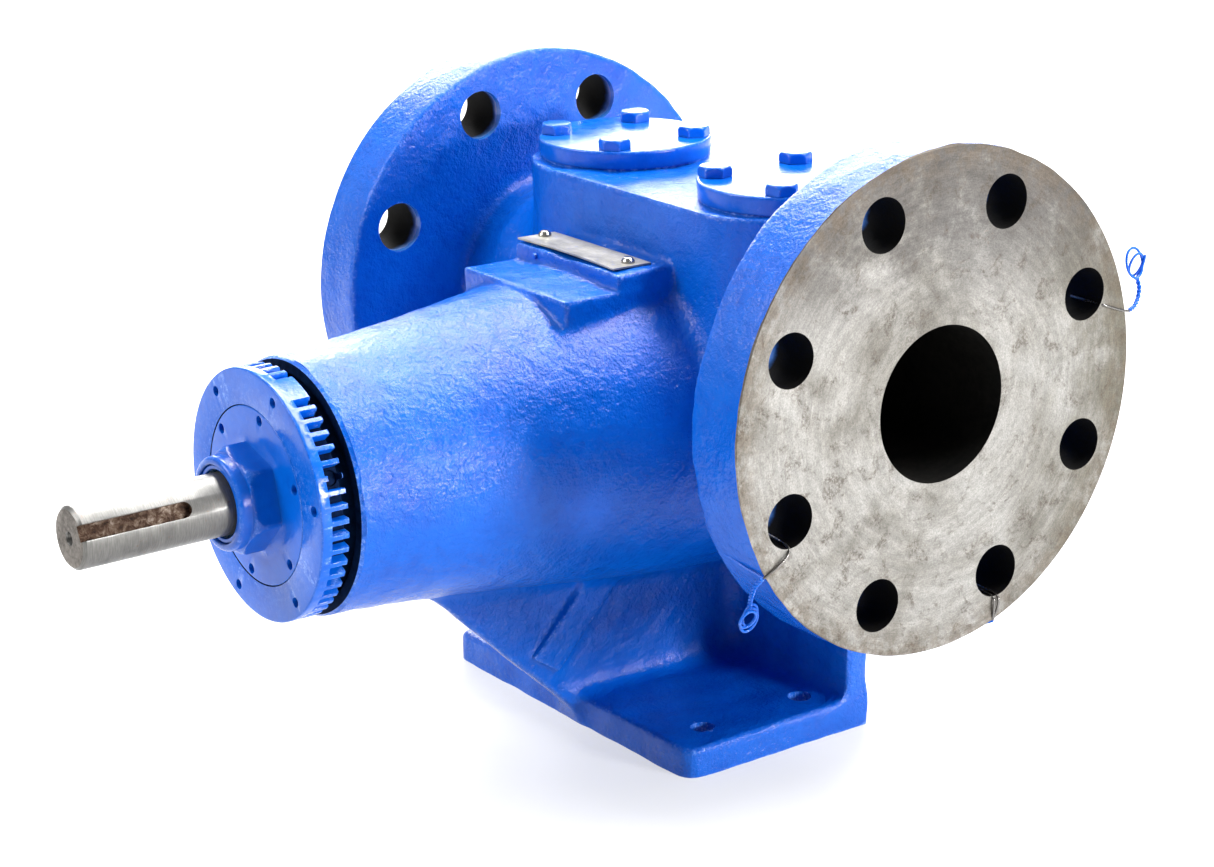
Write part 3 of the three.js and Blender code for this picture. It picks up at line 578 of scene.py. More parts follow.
def polygon_distance(corners, u, v):
    """Distance of the points (u, v) to a polygon, negative inside it."""
    nearest = np.full(np.broadcast(u, v).shape, np.inf, np.float32)
    inside = np.zeros(nearest.shape, bool)
    for (start_u, start_v), (end_u, end_v) in zip(corners, corners[1:] + corners[:1]):
        edge_u, edge_v = end_u - start_u, end_v - start_v
        off_u, off_v = u - start_u, v - start_v
        t = np.clip((off_u * edge_u + off_v * edge_v) / (edge_u ** 2 + edge_v ** 2), 0, 1)
        nearest = np.minimum(nearest, np.hypot(off_u - t * edge_u, off_v - t * edge_v))
        if edge_v:
            crossing = (v >= start_v) != (v >= end_v)
            inside ^= crossing & (u < start_u + off_v * edge_u / edge_v)
    return np.where(inside, -nearest, nearest)


def barrel_radius(y):
    """Radius of the barrel and bracket cone along the shaft, its corners rounded by a moving average."""
    ys, radii = zip(*BARREL)
    return np.mean([np.interp(y + shift, ys, radii) for shift in np.linspace(-14, 14, 15)], axis=0)


def barrel_field(x, y, z):
    off_axis = np.hypot(x, z - SHAFT_Z)
    cone = smooth_max(off_axis - barrel_radius(y), np.maximum(NOSE_Y - 8 - y, y - REAR_RIM.rear_y), 1.6)
    middle = (REAR_RIM.front_y + REAR_RIM.rear_y) / 2
    half = (REAR_RIM.rear_y - REAR_RIM.front_y) / 2
    rim = smooth_max(off_axis - REAR_RIM.r, np.abs(y - middle) - half, 2)
    return smooth_min(cone, rim, 4)


def flange_field(x, y, z):
    """Both flanges and necks at once. They run past the port faces, which are cut later."""
    off_axis = np.hypot(y, z - PORT_Z)
    along = np.abs(x)
    disc = smooth_max(off_axis - FLANGE_R + WAVE_ROOM, FACE_X - FLANGE.thick - along, 2.4)
    stations, radii = zip(*NECK)
    neck = np.maximum(off_axis - np.interp(along, stations, radii), along - FACE_X)
    return smooth_min(np.maximum(disc, along - FACE_X - 4), neck, 9)


def chest_field(x, y, z):
    side = np.hypot(np.maximum(np.abs(x) - CHEST.half_straight, 0), y) - CHEST.r
    return smooth_max(side, np.maximum(z - CHEST.top, CHEST.base - z), 1.6)


def pad_field(x, y, z):
    front, step, back, low, high = PAD.front_y, PAD.step_y, PAD.back_y, PAD.low_z, PAD.high_z
    base = [(front, SHAFT_Z), (back, SHAFT_Z), (back, low), (front, low)]
    raised = [(step, SHAFT_Z), (back, SHAFT_Z), (back, high + 6), (PAD.ramp_y, high), (step, high)]
    width = np.abs(x) - PAD.half_x
    lower = smooth_max(polygon_distance(base, y, z), width, 1.8)
    upper = smooth_max(polygon_distance(raised, y, z), width, 1.8)
    return smooth_min(lower, upper, 2)


def foot_field(x, y, z):
    outline = smooth_max(x - FOOT.right, FOOT.front_y - y, FOOT.right_corner)
    outline = np.maximum(smooth_max(FOOT.left - x, outline, FOOT.left_corner), y - FOOT.back_y)
    return smooth_max(outline, np.maximum(z - FOOT.thick, -z - 4), 3)


def web_field(x, y, z):
    front, back = FOOT.front_y, FOOT.back_y
    wall = [(front + 1, 4), (back, 4), (back, 106.5), (-148.6, 106.5), (-148.6, 76)]
    rib = [(-99.4, 36.8), (-86.4, 27.9), (-58, 58), (-48, 76), (-66, 76), (-77.7, 59.3)]
    sheet = smooth_max(polygon_distance(wall, y, z), np.abs(x) - WEB_HALF, 2)
    raised = smooth_max(polygon_distance(rib, y, z), np.abs(x) - WEB_HALF - 3, 1.5)
    return smooth_min(sheet, raised, 1.6)


def back_plate_field(x, y, z):
    half_x = FOOT.right
    outline = [(-half_x, 4), (half_x, 4), (half_x, 72), (64, SHAFT_Z), (-64, SHAFT_Z), (-half_x, 72)]
    middle = (BACK_PLATE_Y + FOOT.back_y) / 2
    half = (FOOT.back_y - BACK_PLATE_Y) / 2
    return smooth_max(polygon_distance(outline, x, z), np.abs(y - middle) - half, 3)


def cast_waviness(x, y, z):
    """Slight lumps of a sand casting, as a sum of seeded waves."""
    draw = np.random.default_rng(11)
    total = 0
    for wavelength in (9, 11, 13, 16, 19, 23, 28, 34):
        way = draw.normal(size=3)
        way *= 2 * math.pi / wavelength / np.linalg.norm(way)
        phase = draw.uniform(0, 2 * math.pi)
        place = (way[0] * x + way[1] * y + way[2] * z + phase).astype(np.float32)
        total = total + wavelength * WAVE_STEEPNESS * np.sin(place)
    return total


def casting_mesh():
    """Points and faces of the cast outer surface, from the fields joined with fillets."""
    start = BODY_LOW - 4 * VOXEL
    counts = np.ceil((BODY_HIGH - BODY_LOW) / VOXEL).astype(int) + 9
    steps = [np.arange(count, dtype=np.float32) * VOXEL + low for count, low in zip(counts, start)]
    x, y, z = (axis.astype(np.float32) for axis in np.meshgrid(*steps, indexing="ij", sparse=True))
    field = smooth_min(barrel_field(x, y, z), chest_field(x, y, z), 7)
    field = smooth_min(field, pad_field(x, y, z), 2.5)
    field = smooth_min(field, flange_field(x, y, z), 8)
    stand = smooth_min(web_field(x, y, z), back_plate_field(x, y, z), 9)
    stand = smooth_min(stand, foot_field(x, y, z), 9)
    across = np.maximum(x - FOOT.right, FOOT.left - x)
    stand = smooth_max(stand, np.maximum(across, np.maximum(y - FOOT.back_y, z - SHAFT_Z)), 2)
    field = smooth_min(field, stand, 9) + cast_waviness(x, y, z)
    grid = openvdb.FloatGrid(2 * VOXEL)
    grid.copyFromArray(np.ascontiguousarray(field, dtype=np.float32))
    points, triangles, quads = grid.convertToPolygons(0.0, 0.0)
    points = points * VOXEL + start
    points = np.clip(points, [-1e3, NOSE_Y - 6, 0], [1e3, 1e3, 1e3])
    return points, [*triangles.tolist(), *quads.tolist()]


def facing_cutter(side):
    """Turns a port face flat, with its small chamfer."""
    edge = FLANGE_R - FLANGE.chamfer
    profile = [(0, FACE_X), (edge, FACE_X), (edge + 8, FACE_X - 8), (edge + 8, FACE_X + 12), (0, FACE_X + 12)]
    points, faces = turned(profile, 160, axis="X", centre=(0, 0, PORT_Z))
    return mesh_object("facing_cutter", points * (side, 1, 1), faces)


def bolt_hole_cutter():
    """The eight holes of each flange and the four in the foot, all apart from each other."""
    shapes = []
    for side in (-1, 1):
        span = sorted((side * (FACE_X - FLANGE.thick - 6), side * (FACE_X + 2)))
        for a, b in FLANGE_HOLES:
            shapes.append(rod(FLANGE.hole_r, *span, axis="X", centre=(0, a, PORT_Z + b)))
    for x in (-FOOT_HOLE.x, FOOT_HOLE.x):
        for y in FOOT_HOLE.ys:
            shapes.append(rod(FOOT_HOLE.r, -2, FOOT.thick + 4, 32, axis="Z", centre=(x, y, 0)))
    return mesh_object("bolt_hole_cutter", *merge(shapes))


def nose_cutter():
    """Turns the front rim of the bracket cone flat and round."""
    rim = barrel_radius(NOSE_Y)
    profile = [(0, NOSE_Y - 20), (rim + 20, NOSE_Y - 20), (rim + 20, NOSE_Y + 1.5), (rim + 0.2, NOSE_Y + 1.5),
               (rim - 1.0, NOSE_Y), (0, NOSE_Y)]
    return lathe("nose_cutter", profile, segments=160)


def shaft_bore_cutter():
    bracket_r, bracket_end, bushing_r = BRACKET_BORE.r, BRACKET_BORE.end, BRACKET_BORE.bushing_r
    profile = [
        (0, NOSE_Y - 1), (BEARING_BORE_R + 3.5, NOSE_Y - 1), (BEARING_BORE_R, NOSE_Y + 3),
        (BEARING_BORE_R, BEARING_BORE_END), (bracket_r, BEARING_BORE_END), (bracket_r, bracket_end),
        (bushing_r, bracket_end), (bushing_r, CHAMBER.front_y), (CHAMBER.r, CHAMBER.front_y),
        (CHAMBER.r, REAR_RIM.rear_y + 2), (0, REAR_RIM.rear_y + 2),
    ]
    return lathe("shaft_bore_cutter", profile, segments=128)


def port_bore_cutter(side):
    span = sorted((side * PORT_BORE_END, side * (FACE_X + 2)))
    return mesh_object("port_bore_cutter", *rod(PORT_BORE_R, *span, 96, axis="X", centre=(0, 0, PORT_Z)))


CASTING_FINISHES = (CAST, FLANGE_FACE, HOLE_WALL, PORT_WALL, PAINTED_SHADE)
IN_BORE = 0.05
ON_FACE = 0.02


def assign_casting_faces(obj):
    """Enamel outside, bare metal on the port faces, a near-black painted shade in the bores and deep in the
    drilled holes, and a dark navy painted shade on the front of the nose.
    """
    faces = obj.data.polygons
    centres = np.empty(len(faces) * 3)
    faces.foreach_get("center", centres)
    x, y, z = (centres / MM).reshape(-1, 3).T
    along = np.abs(x)
    off_port = np.hypot(y, z - PORT_Z)
    off_shaft = np.hypot(x, z - SHAFT_Z)
    index = np.zeros(len(faces), np.int32)
    on_chamfer = np.abs(along + off_port - FACE_X - FLANGE_R + FLANGE.chamfer) < 0.06
    faced = (along > FACE_X - ON_FACE) | (on_chamfer & (along > FACE_X - 1.5 * FLANGE.chamfer))
    index[faced & (off_port > PORT_BORE_R)] = CASTING_FINISHES.index(FLANGE_FACE)
    in_flange = (along > FACE_X - FLANGE.thick - 5) & (along < FACE_X - ON_FACE)
    for a, b in FLANGE_HOLES:
        drilled = np.hypot(y - a, z - PORT_Z - b) < FLANGE.hole_r + IN_BORE
        index[in_flange & drilled] = CASTING_FINISHES.index(HOLE_WALL)
    port = (off_port < PORT_BORE_R + IN_BORE) & (along > PORT_BORE_END - 1) & (along < FACE_X - ON_FACE)
    chamber = (off_shaft < CHAMBER.r + IN_BORE) & (y > CHAMBER.front_y - 0.1) & (y < REAR_RIM.rear_y - 0.1)
    bracket = (off_shaft < BRACKET_BORE.r + IN_BORE) & (y < CHAMBER.front_y) & (y > -200)
    index[port | chamber | bracket] = CASTING_FINISHES.index(PORT_WALL)
    # Painted shade: the nose rim and the mouth of its bore, in shadow behind the bearing ring, get the dark
    # navy material.
    nose = (off_shaft < barrel_radius(NOSE_Y) - 0.95) & (y < NOSE_Y + 12)
    index[nose] = CASTING_FINISHES.index(PAINTED_SHADE)
    faces.foreach_set("material_index", index)


def sharpen_between_materials(obj, degrees):
    """Smooth shading, kept crisp at steep edges and wherever one finish meets another."""
    sharpen(obj, degrees)
    work = bmesh.new()
    work.from_mesh(obj.data)
    for edge in work.edges:
        if len({face.material_index for face in edge.link_faces}) > 1:
            edge.smooth = False
    work.to_mesh(obj.data)
    work.free()


def build_casting():
    body = mesh_object("pump_casting", *casting_mesh(), *CASTING_FINISHES)
    carve(body, nose_cutter(), facing_cutter(1), facing_cutter(-1), bolt_hole_cutter(), shaft_bore_cutter(),
          port_bore_cutter(1), port_bore_cutter(-1))
    assign_casting_faces(body)
    sharpen_between_materials(body, 38)
    finish_piece(body, None, "enamel", "pump_body")


# ---- bolts and covers
def hex_corner_radius(angles, flats):
    """Radius of a hexagon outline at each angle, with a corner at angle 0."""
    folded = np.mod(angles, math.pi / 3) - math.pi / 6
    return flats / 2 / np.cos(folded)


def hex_head():
    """A hexagon bolt head along Y with its corners chamfered, as (points, faces)."""
    corner = BOLT_FLATS / math.sqrt(3)
    height = BOLT_HEAD
    profile = [(0, 0), (corner - 0.2, 0), (corner, 0.3), (corner, height - 1.5), (corner - 0.5, height - 0.9),
               (corner - 1.0, height - 0.25), (corner - 1.45, height), (0, height)]
    return turned(profile, 72, radius_at=lambda r, y, a: np.minimum(r, hex_corner_radius(a, BOLT_FLATS)))


def build_bolt(node, way, spin):
    """A painted head in place of a CAD bolt, without the shank that its hole hides. way is up or back."""
    low, high = box_mm(node)
    middle = (low + high) / 2
    points, faces = hex_head()
    points = spun(points, spin)
    if way == "up":
        points = points[:, [0, 2, 1]] + (middle[0], middle[1], high[2] - BOLT_HEAD)
    else:
        points = points + (middle[0], high[1] - BOLT_HEAD, middle[2])
    bolt = mesh_object("painted_" + node, points, faces, SMOOTH)
    soften(bolt, 0.35, 20)
    finish_piece(bolt, 40, "enamel", node)


def build_valve_covers():
    cover_r = (COVER_HIGH[1] - COVER_LOW[1]) / 2
    seat, top = COVER_LOW[2], COVER_HIGH[2]
    for name, x in (("left", -VALVE_X), ("right", VALVE_X)):
        profile = rounded([(0, seat), (cover_r - 0.3, seat, 0.4), (cover_r, top, 1.3), (0, top)])
        cover = lathe("cover_" + name, profile, SMOOTH, segments=160, axis="Z", centre=(x, 0, 0))
        finish_piece(cover, 50, "enamel", "valve_cover_" + name)
        inner, outer = VALVE_BORE_R, cover_r - 1.0
        below = CHEST.top - 0.4
        ring = [(inner, below), (outer, below), (outer, seat), (inner, seat)]
        gasket = lathe("gasket_" + name, ring, SMOOTH, segments=96, closed=True, axis="Z", centre=(x, 0, 0))
        finish_piece(gasket, 35, "gasket", "valve_gasket_" + name)
    for i in range(8):
        build_bolt(f"cover_bolt_{i + 1}", "up", -(17 + 23 * i))


def build_rear_head():
    front, back, boss_y = HEAD_PLATE_FRONT, HEAD_PLATE_BACK, HEAD_HIGH[1]
    rim = REAR_RIM.r
    profile = rounded([
        (0, front), (rim, front, 0.6), (rim, back, 2.6), (HEAD_BOSS_R + 6, back, 5),
        (HEAD_BOSS_R, boss_y, 2.4), (0, boss_y),
    ])
    head = lathe("rear_cover", profile, CAST, segments=160)
    tip, wide = CRESCENT.front_y, 80
    on_idler = (0, 0, SHAFT_Z + IDLER_OFFSET)
    outer = rod(CRESCENT.outer_r, tip, front + 2, 96, centre=ON_SHAFT)
    inner = rod(CRESCENT.inner_r, tip - 1, front + 4, 96, centre=on_idler)
    square = [(-wide, -wide), (wide, -wide), (wide, wide), (-wide, wide)]
    above = prism(square, SHAFT_Z - CRESCENT.below_shaft, SHAFT_Z + wide)
    moon = mesh_object("crescent", *outer, GEAR_IRON)
    carve(moon, mesh_object("moon_cutter", *inner), mesh_object("moon_top", *above))
    carve(head, moon, operation="UNION")
    pin = rod(IDLER_PIN_R, front - 30, boss_y + 1, centre=on_idler)
    carve(head, mesh_object("pin_cutter", *pin))
    finish_piece(head, 45, "enamel", "rear_head")
    for i in range(8):
        build_bolt(f"head_bolt_{i + 1}", "back", 11 * i)


# ---- bearing housing, end cap, seal
def groove_depth(angles):
    """1 in the middle of each groove and 0 on the ribs, with soft shoulders, round the notched band."""
    pitch = 360 / RING.teeth
    place = (np.degrees(angles) - SOCKET_ANGLE) / pitch
    tooth = np.floor(place) % RING.teeth
    across = np.abs(place - np.floor(place) - 0.5)
    depth = np.clip((0.335 - across) / 0.07, 0, 1)
    depth = depth * depth * (3 - 2 * depth)
    solid = (tooth >= BLOCK_FIRST) & (tooth <= BLOCK_LAST)
    return np.where(solid, 0, depth)


def notched_radius(radius, along, angles):
    """Radii of one ring of the housing: grooves are milled from the back edge up to the band."""
    if radius < BEARING_BORE_R + 1 or along < RING.band_y - 0.6 or along > RING.back_y + 0.01:
        return np.full(len(angles), radius)
    reach = np.clip((along - RING.band_y + 0.6) / 1.6, 0, 1)
    floor = radius - (RING_R - RING.groove_r) * groove_depth(angles) * reach ** 0.6
    return np.maximum(floor, np.minimum(radius, RING.groove_r - 1.2))


def spanner_holes(radius, start):
    """Six small blind holes on one circle in the front of the ring or cap."""
    front = RING.front_y
    shapes = []
    for a, b in on_circle(6, radius, start):
        shapes.append(rod(SPANNER_HOLE_R, front - 1, front + 5, 24, centre=(a, 0, SHAFT_Z + b)))
    return mesh_object("spanner_holes", *merge(shapes))


def socket_cutter():
    """The hole of the set screw, drilled from the rim toward the shaft line."""
    middle = (RING.band_y + RING.back_y) / 2
    points, faces = rod(SOCKET_R, RING_BORE_R + 1, RING_R + 9, 32, axis="X")
    return mesh_object("socket_cutter", spun(points, -SOCKET_ANGLE) + (0, middle, SHAFT_Z), faces)


def paint_groove_shade(housing):
    """Gives the floors of the grooves and the back edge the second material, a dark navy painted shade."""
    for face in housing.data.polygons:
        x, y, z = (c / MM for c in face.center)
        in_groove = y > RING.band_y and math.hypot(x, z - SHAFT_Z) < RING.groove_r + 1.2
        if in_groove or y > RING.back_y - 0.1:
            face.material_index = 1


def build_housing():
    front, band, back, end = RING.front_y, RING.band_y, RING.back_y, RING.end_y
    barrel_r, race_r = BEARING_BORE_R - 0.6, RING_BORE_R - 0.7
    outer = rounded([(RING_BORE_R, front), (RING_R, front, 0.9), (RING_R, band - 0.7)])
    steps = [(RING_R, band + t) for t in (-0.4, -0.1, 0.2, 0.5, 0.8, 1.2, 2.0)]
    tail = [
        (RING_R, back - 0.5), (RING_R - 0.5, back), (RING.groove_r - 1.2, back), (barrel_r, back),
        (barrel_r, end), (race_r, end), (race_r, CAP_BACK_Y + 0.5), (RING_BORE_R, CAP_BACK_Y + 0.5),
    ]
    profile = outer + steps + tail
    housing = lathe("bearing_ring", profile, SMOOTH, PAINTED_SHADE, segments=RING.teeth * 24, closed=True,
                    radius_at=notched_radius)
    carve(housing, spanner_holes(46.3, 7.4), socket_cutter())
    paint_groove_shade(housing)
    soften(housing, 0.22, 50)
    finish_piece(housing, 42, "enamel", "bearing_housing", body="housing")


def hub_radius(radius, along, angles):
    """Circle cut down to the hexagon of the hub between its root and its front chamfer."""
    if radius <= HUB.nose_r + 0.01 or along > RING.front_y - 0.3 or radius > 24:
        return np.full(len(angles), radius)
    hexagon = hex_corner_radius(angles - math.radians(HUB.turn), HUB.flats)
    return np.minimum(radius, hexagon)


def build_end_cap():
    front, hub_front, nose = RING.front_y, HUB.front_y, HUB.nose_y
    edge, corner, nose_r, bore_r = RING_BORE_R - 0.35, HUB.corner_r, HUB.nose_r, HUB.bore_r
    shaft_hole_r, hollow_r = SHAFT_R + 0.9, 27
    profile = rounded([
        (edge, CAP_BACK_Y), (edge, front, 0.7), (26.2, front, 0.4), (25.0, front), (24.6, front - 0.05),
        (corner, front - 0.4), (corner, front - 3), (corner, hub_front + 3.2),
        (corner - 0.5, hub_front + 1.6), (corner - 1.4, hub_front + 0.5), (corner - 2.2, hub_front),
        (nose_r, hub_front, 0.5), (nose_r, nose, 2.2), (bore_r, nose, 0.8), (bore_r, SEAL_BACK_Y),
        (shaft_hole_r, SEAL_BACK_Y), (shaft_hole_r, -223.5), (hollow_r, -219.5), (hollow_r, CAP_BACK_Y),
    ], closed=True)
    cap = lathe("seal_cap", profile, SMOOTH, segments=288, closed=True, radius_at=hub_radius)
    carve(cap, spanner_holes(33.2, 19))
    soften(cap, 0.3, 50)
    finish_piece(cap, 42, "enamel", "end_cap", body="housing")


def build_lip_seal():
    """Steel-cased seal in the nose of the cap, with its rubber lip on the shaft."""
    bore_r, nose = HUB.bore_r, HUB.nose_y
    case_end = SEAL_BACK_Y - 0.2
    case = rounded([
        (bore_r - 0.25, case_end), (bore_r - 0.25, nose + 1.0, 0.5), (bore_r - 1.9, nose + 1.0, 0.5),
        (bore_r - 2.1, nose + 2.2), (bore_r - 1.2, nose + 2.6), (bore_r - 1.2, case_end),
    ], closed=True)
    ring = lathe("seal_case", case, SMOOTH, segments=96, closed=True)
    finish_piece(ring, 50, "seal_rubber", body="housing")
    lip = rounded([
        (bore_r - 1.3, nose + 2.8), (SHAFT_R + 1.4, nose + 2.5, 0.3), (SHAFT_R + 0.25, nose + 4.2, 0.4),
        (SHAFT_R + 0.6, nose + 7), (bore_r - 1.3, nose + 7),
    ], closed=True)
    rubber = lathe("seal_lip", lip, LIP, segments=96, closed=True)
    finish_piece(rubber, 50, "seal_rubber", "shaft_lip_seal", body="housing")


# ---- drive shaft
def keyway_cutter():
    """The keyway, open at the shaft's free end and round at its inner end."""
    half, round_y = KEYWAY.width / 2, KEYWAY.end_y - KEYWAY.width / 2
    outline = [(-half, SHAFT_LOW[1] - 2), (half, SHAFT_LOW[1] - 2)]
    outline += [(half * math.cos(a), round_y + half * math.sin(a)) for a in np.linspace(0, math.pi, 17)]
    points, faces = prism(outline, SHAFT_R - KEYWAY.depth, SHAFT_R + 5)
    return mesh_object("keyway_cutter", spun(points, 90 - KEYWAY.angle) + ON_SHAFT, faces)


def centre_drill():
    end = SHAFT_LOW[1]
    profile = rounded([(0, end - 1), (3.4, end - 1), (2.6, end + 0.6, 0.2), (2.2, end + 2), (0, end + 5)])
    return lathe("centre_drill", profile, segments=32)


def build_shaft():
    end, collar_r, rear_r = SHAFT_LOW[1], COLLAR.r, REAR_SHAFT.r
    profile = rounded([
        (0, end), (SHAFT_R - 1.3, end, 0.2), (SHAFT_R, end + 1.3, 0.4), (SHAFT_R, COLLAR.front_y - 4, 0.3),
        (collar_r, COLLAR.front_y, 0.3), (collar_r, COLLAR.back_y), (THREAD_RELIEF_R, COLLAR.back_y),
        (THREAD_RELIEF_R, REAR_SHAFT.front_y), (rear_r, REAR_SHAFT.front_y), (rear_r, SHAFT_HIGH[1]),
        (0, SHAFT_HIGH[1]),
    ])
    shaft = lathe("keyed_shaft", profile, GROUND, KEYWAY_RUST, SHAFT_END, segments=128)
    carve(shaft, keyway_cutter(), centre_drill())
    mark_shaft_faces(shaft)
    soften(shaft, 0.25, 40)
    finish_piece(shaft, 35, "ground_steel", "drive_shaft", body="shaft")


def mark_shaft_faces(shaft):
    """Gives the floor and walls of the keyway the rusty material, and the free end the weathered one."""
    angle = math.radians(KEYWAY.angle)
    half, floor = KEYWAY.width / 2, SHAFT_R - KEYWAY.depth
    for face in shaft.data.polygons:
        x, y, z = (c / MM for c in face.center)
        off_axis = math.hypot(x, z - SHAFT_Z)
        height = x * math.cos(angle) + (z - SHAFT_Z) * math.sin(angle)
        aside = abs(-x * math.sin(angle) + (z - SHAFT_Z) * math.cos(angle))
        inside = aside < half + 0.02 and height > floor - 0.02 and y < KEYWAY.end_y + 0.02
        if inside and off_axis < SHAFT_R - 0.01:
            face.material_index = 1
        elif y < SHAFT_LOW[1] + 0.05 and off_axis < SHAFT_R - 1.0:
            face.material_index = 2


# ---- nameplate
PLATE_HALF_X, PLATE_HALF_Y, PLATE_THICK = 34.6, 9.7, 0.7


def build_nameplate():
    """A thin blank plate that has sprung up in the middle of its near edge."""
    low, high = box_mm("nameplate")
    centre = (low + high) / 2
    columns, rows = 60, 18
    points, faces = [], []
    for level in (low[2] + 0.1, low[2] + 0.1 + PLATE_THICK):
        for v in np.linspace(-1, 1, rows + 1):
            for u in np.linspace(-1, 1, columns + 1):
                sprung = 1.1 * (1 - u * u) * max(0, -v) ** 1.5
                bow = sprung + 0.35 * abs(u) ** 3 * (0.4 - 0.6 * v)
                points.append((centre[0] + u * PLATE_HALF_X, centre[1] + v * PLATE_HALF_Y, level + bow))
    row = columns + 1
    layer = row * (rows + 1)
    for j in range(rows):
        for i in range(columns):
            a = j * row + i
            faces.append([a, a + row, a + row + 1, a + 1])
            faces.append([layer + a, layer + a + 1, layer + a + row + 1, layer + a + row])
    rim = list(range(columns)) + [j * row + columns for j in range(rows)]
    rim += [rows * row + i for i in range(columns, 0, -1)] + [j * row for j in range(rows, 0, -1)]
    for a, b in zip(rim, rim[1:] + rim[:1]):
        faces.append([a, b, layer + b, layer + a])
    plate = mesh_object("blank_plate", points, faces, PLATE)
    finish_piece(plate, 40, "nameplate_steel", "nameplate")


def build_drive_screws():
    """The two round-head drive screws of the nameplate."""
    for number in (1, 2):
        node = f"nameplate_screw_{number}"
        low, high = box_mm(node)
        middle = (low + high) / 2
        seat, top = low[2], high[2]
        dome = rounded([
            (0, seat - 0.4), (2.9, seat - 0.4), (2.9, seat + 0.5, 0.4), (1.9, top - 0.5, 1.0), (0, top),
        ])
        centre = (middle[0], middle[1], 0)
        screw = lathe(f"drive_screw_{number}", dome, BRIGHT, segments=40, axis="Z", centre=centre)
        finish_piece(screw, 60, "nameplate_steel", node)


def build_riser_pin():
    """A small painted pin standing out of the front of the riser under the nameplate."""
    x, y, z = -21, PAD.step_y - 1.6, 206.1
    outline = rounded([(0, y), (1.2, y, 0.4), (1.2, y + 5), (0, y + 5)])
    pin = lathe("riser_pin", outline, SMOOTH, segments=24, centre=(x, 0, z))
    finish_piece(pin, 50, "enamel")


# ---- tag wires. A route's points are (distance ahead of the right port face, y, z)
WIRE_R = 0.55
TWIST_R = 0.5


def wire(name, route, material, *nodes):
    """A bent wire along a smooth curve led by its points."""
    curve = bpy.data.curves.new(name, "CURVE")
    curve.dimensions = "3D"
    curve.bevel_depth = WIRE_R * MM
    curve.bevel_resolution = 3
    curve.resolution_u = 10
    curve.use_fill_caps = True
    spline = curve.splines.new("NURBS")
    spline.points.add(len(route) - 1)
    for point, (ahead, y, z) in zip(spline.points, route):
        point.co = (*(np.array((FACE_X + ahead, y, z)) * MM), 1)
    spline.order_u = 4
    spline.use_endpoint_u = True
    curve.materials.append(material)
    finish_piece(link(bpy.data.objects.new(name, curve)), None, "wire_steel", *nodes)


def twisted(name, route, turns):
    """Two painted strands twisted together along a route, its corners smoothed by a moving average."""
    route = np.array(route, float)
    legs = np.linalg.norm(np.diff(route, axis=0), axis=1)
    place = np.concatenate([[0], np.cumsum(legs)]) / legs.sum()
    t = np.linspace(0, 1, 14 * turns)
    line = np.stack([np.interp(t, place, route[:, k]) for k in range(3)], axis=1)
    kernel = np.ones(9) / 9
    padded = np.pad(line, ((4, 4), (0, 0)), mode="edge")
    line = np.stack([np.convolve(padded[:, k], kernel, "valid") for k in range(3)], axis=1)
    ahead = np.gradient(line, axis=0)
    ahead /= np.linalg.norm(ahead, axis=1)[:, None]
    side = np.cross(ahead, (1, 0, 0))
    side /= np.linalg.norm(side, axis=1)[:, None]
    up = np.cross(ahead, side)
    for strand, phase in enumerate((0, math.pi)):
        angle = 2 * math.pi * turns * t + phase
        wound = line + TWIST_R * (np.cos(angle)[:, None] * side + np.sin(angle)[:, None] * up)
        wire(f"{name}_{strand + 1}", wound, WIRE_BLUE)


def wire_loop(name, centre, wide, tall, start, lean):
    """One closed loop of painted wire round a centre, nearly flat across the flange's axis."""
    route = []
    for angle in start + np.linspace(0, 2 * math.pi, 13):
        rise = math.sin(angle)
        route.append(np.array(centre) + (lean * rise, wide * math.cos(angle), tall * rise))
    wire(name, route, WIRE_BLUE)


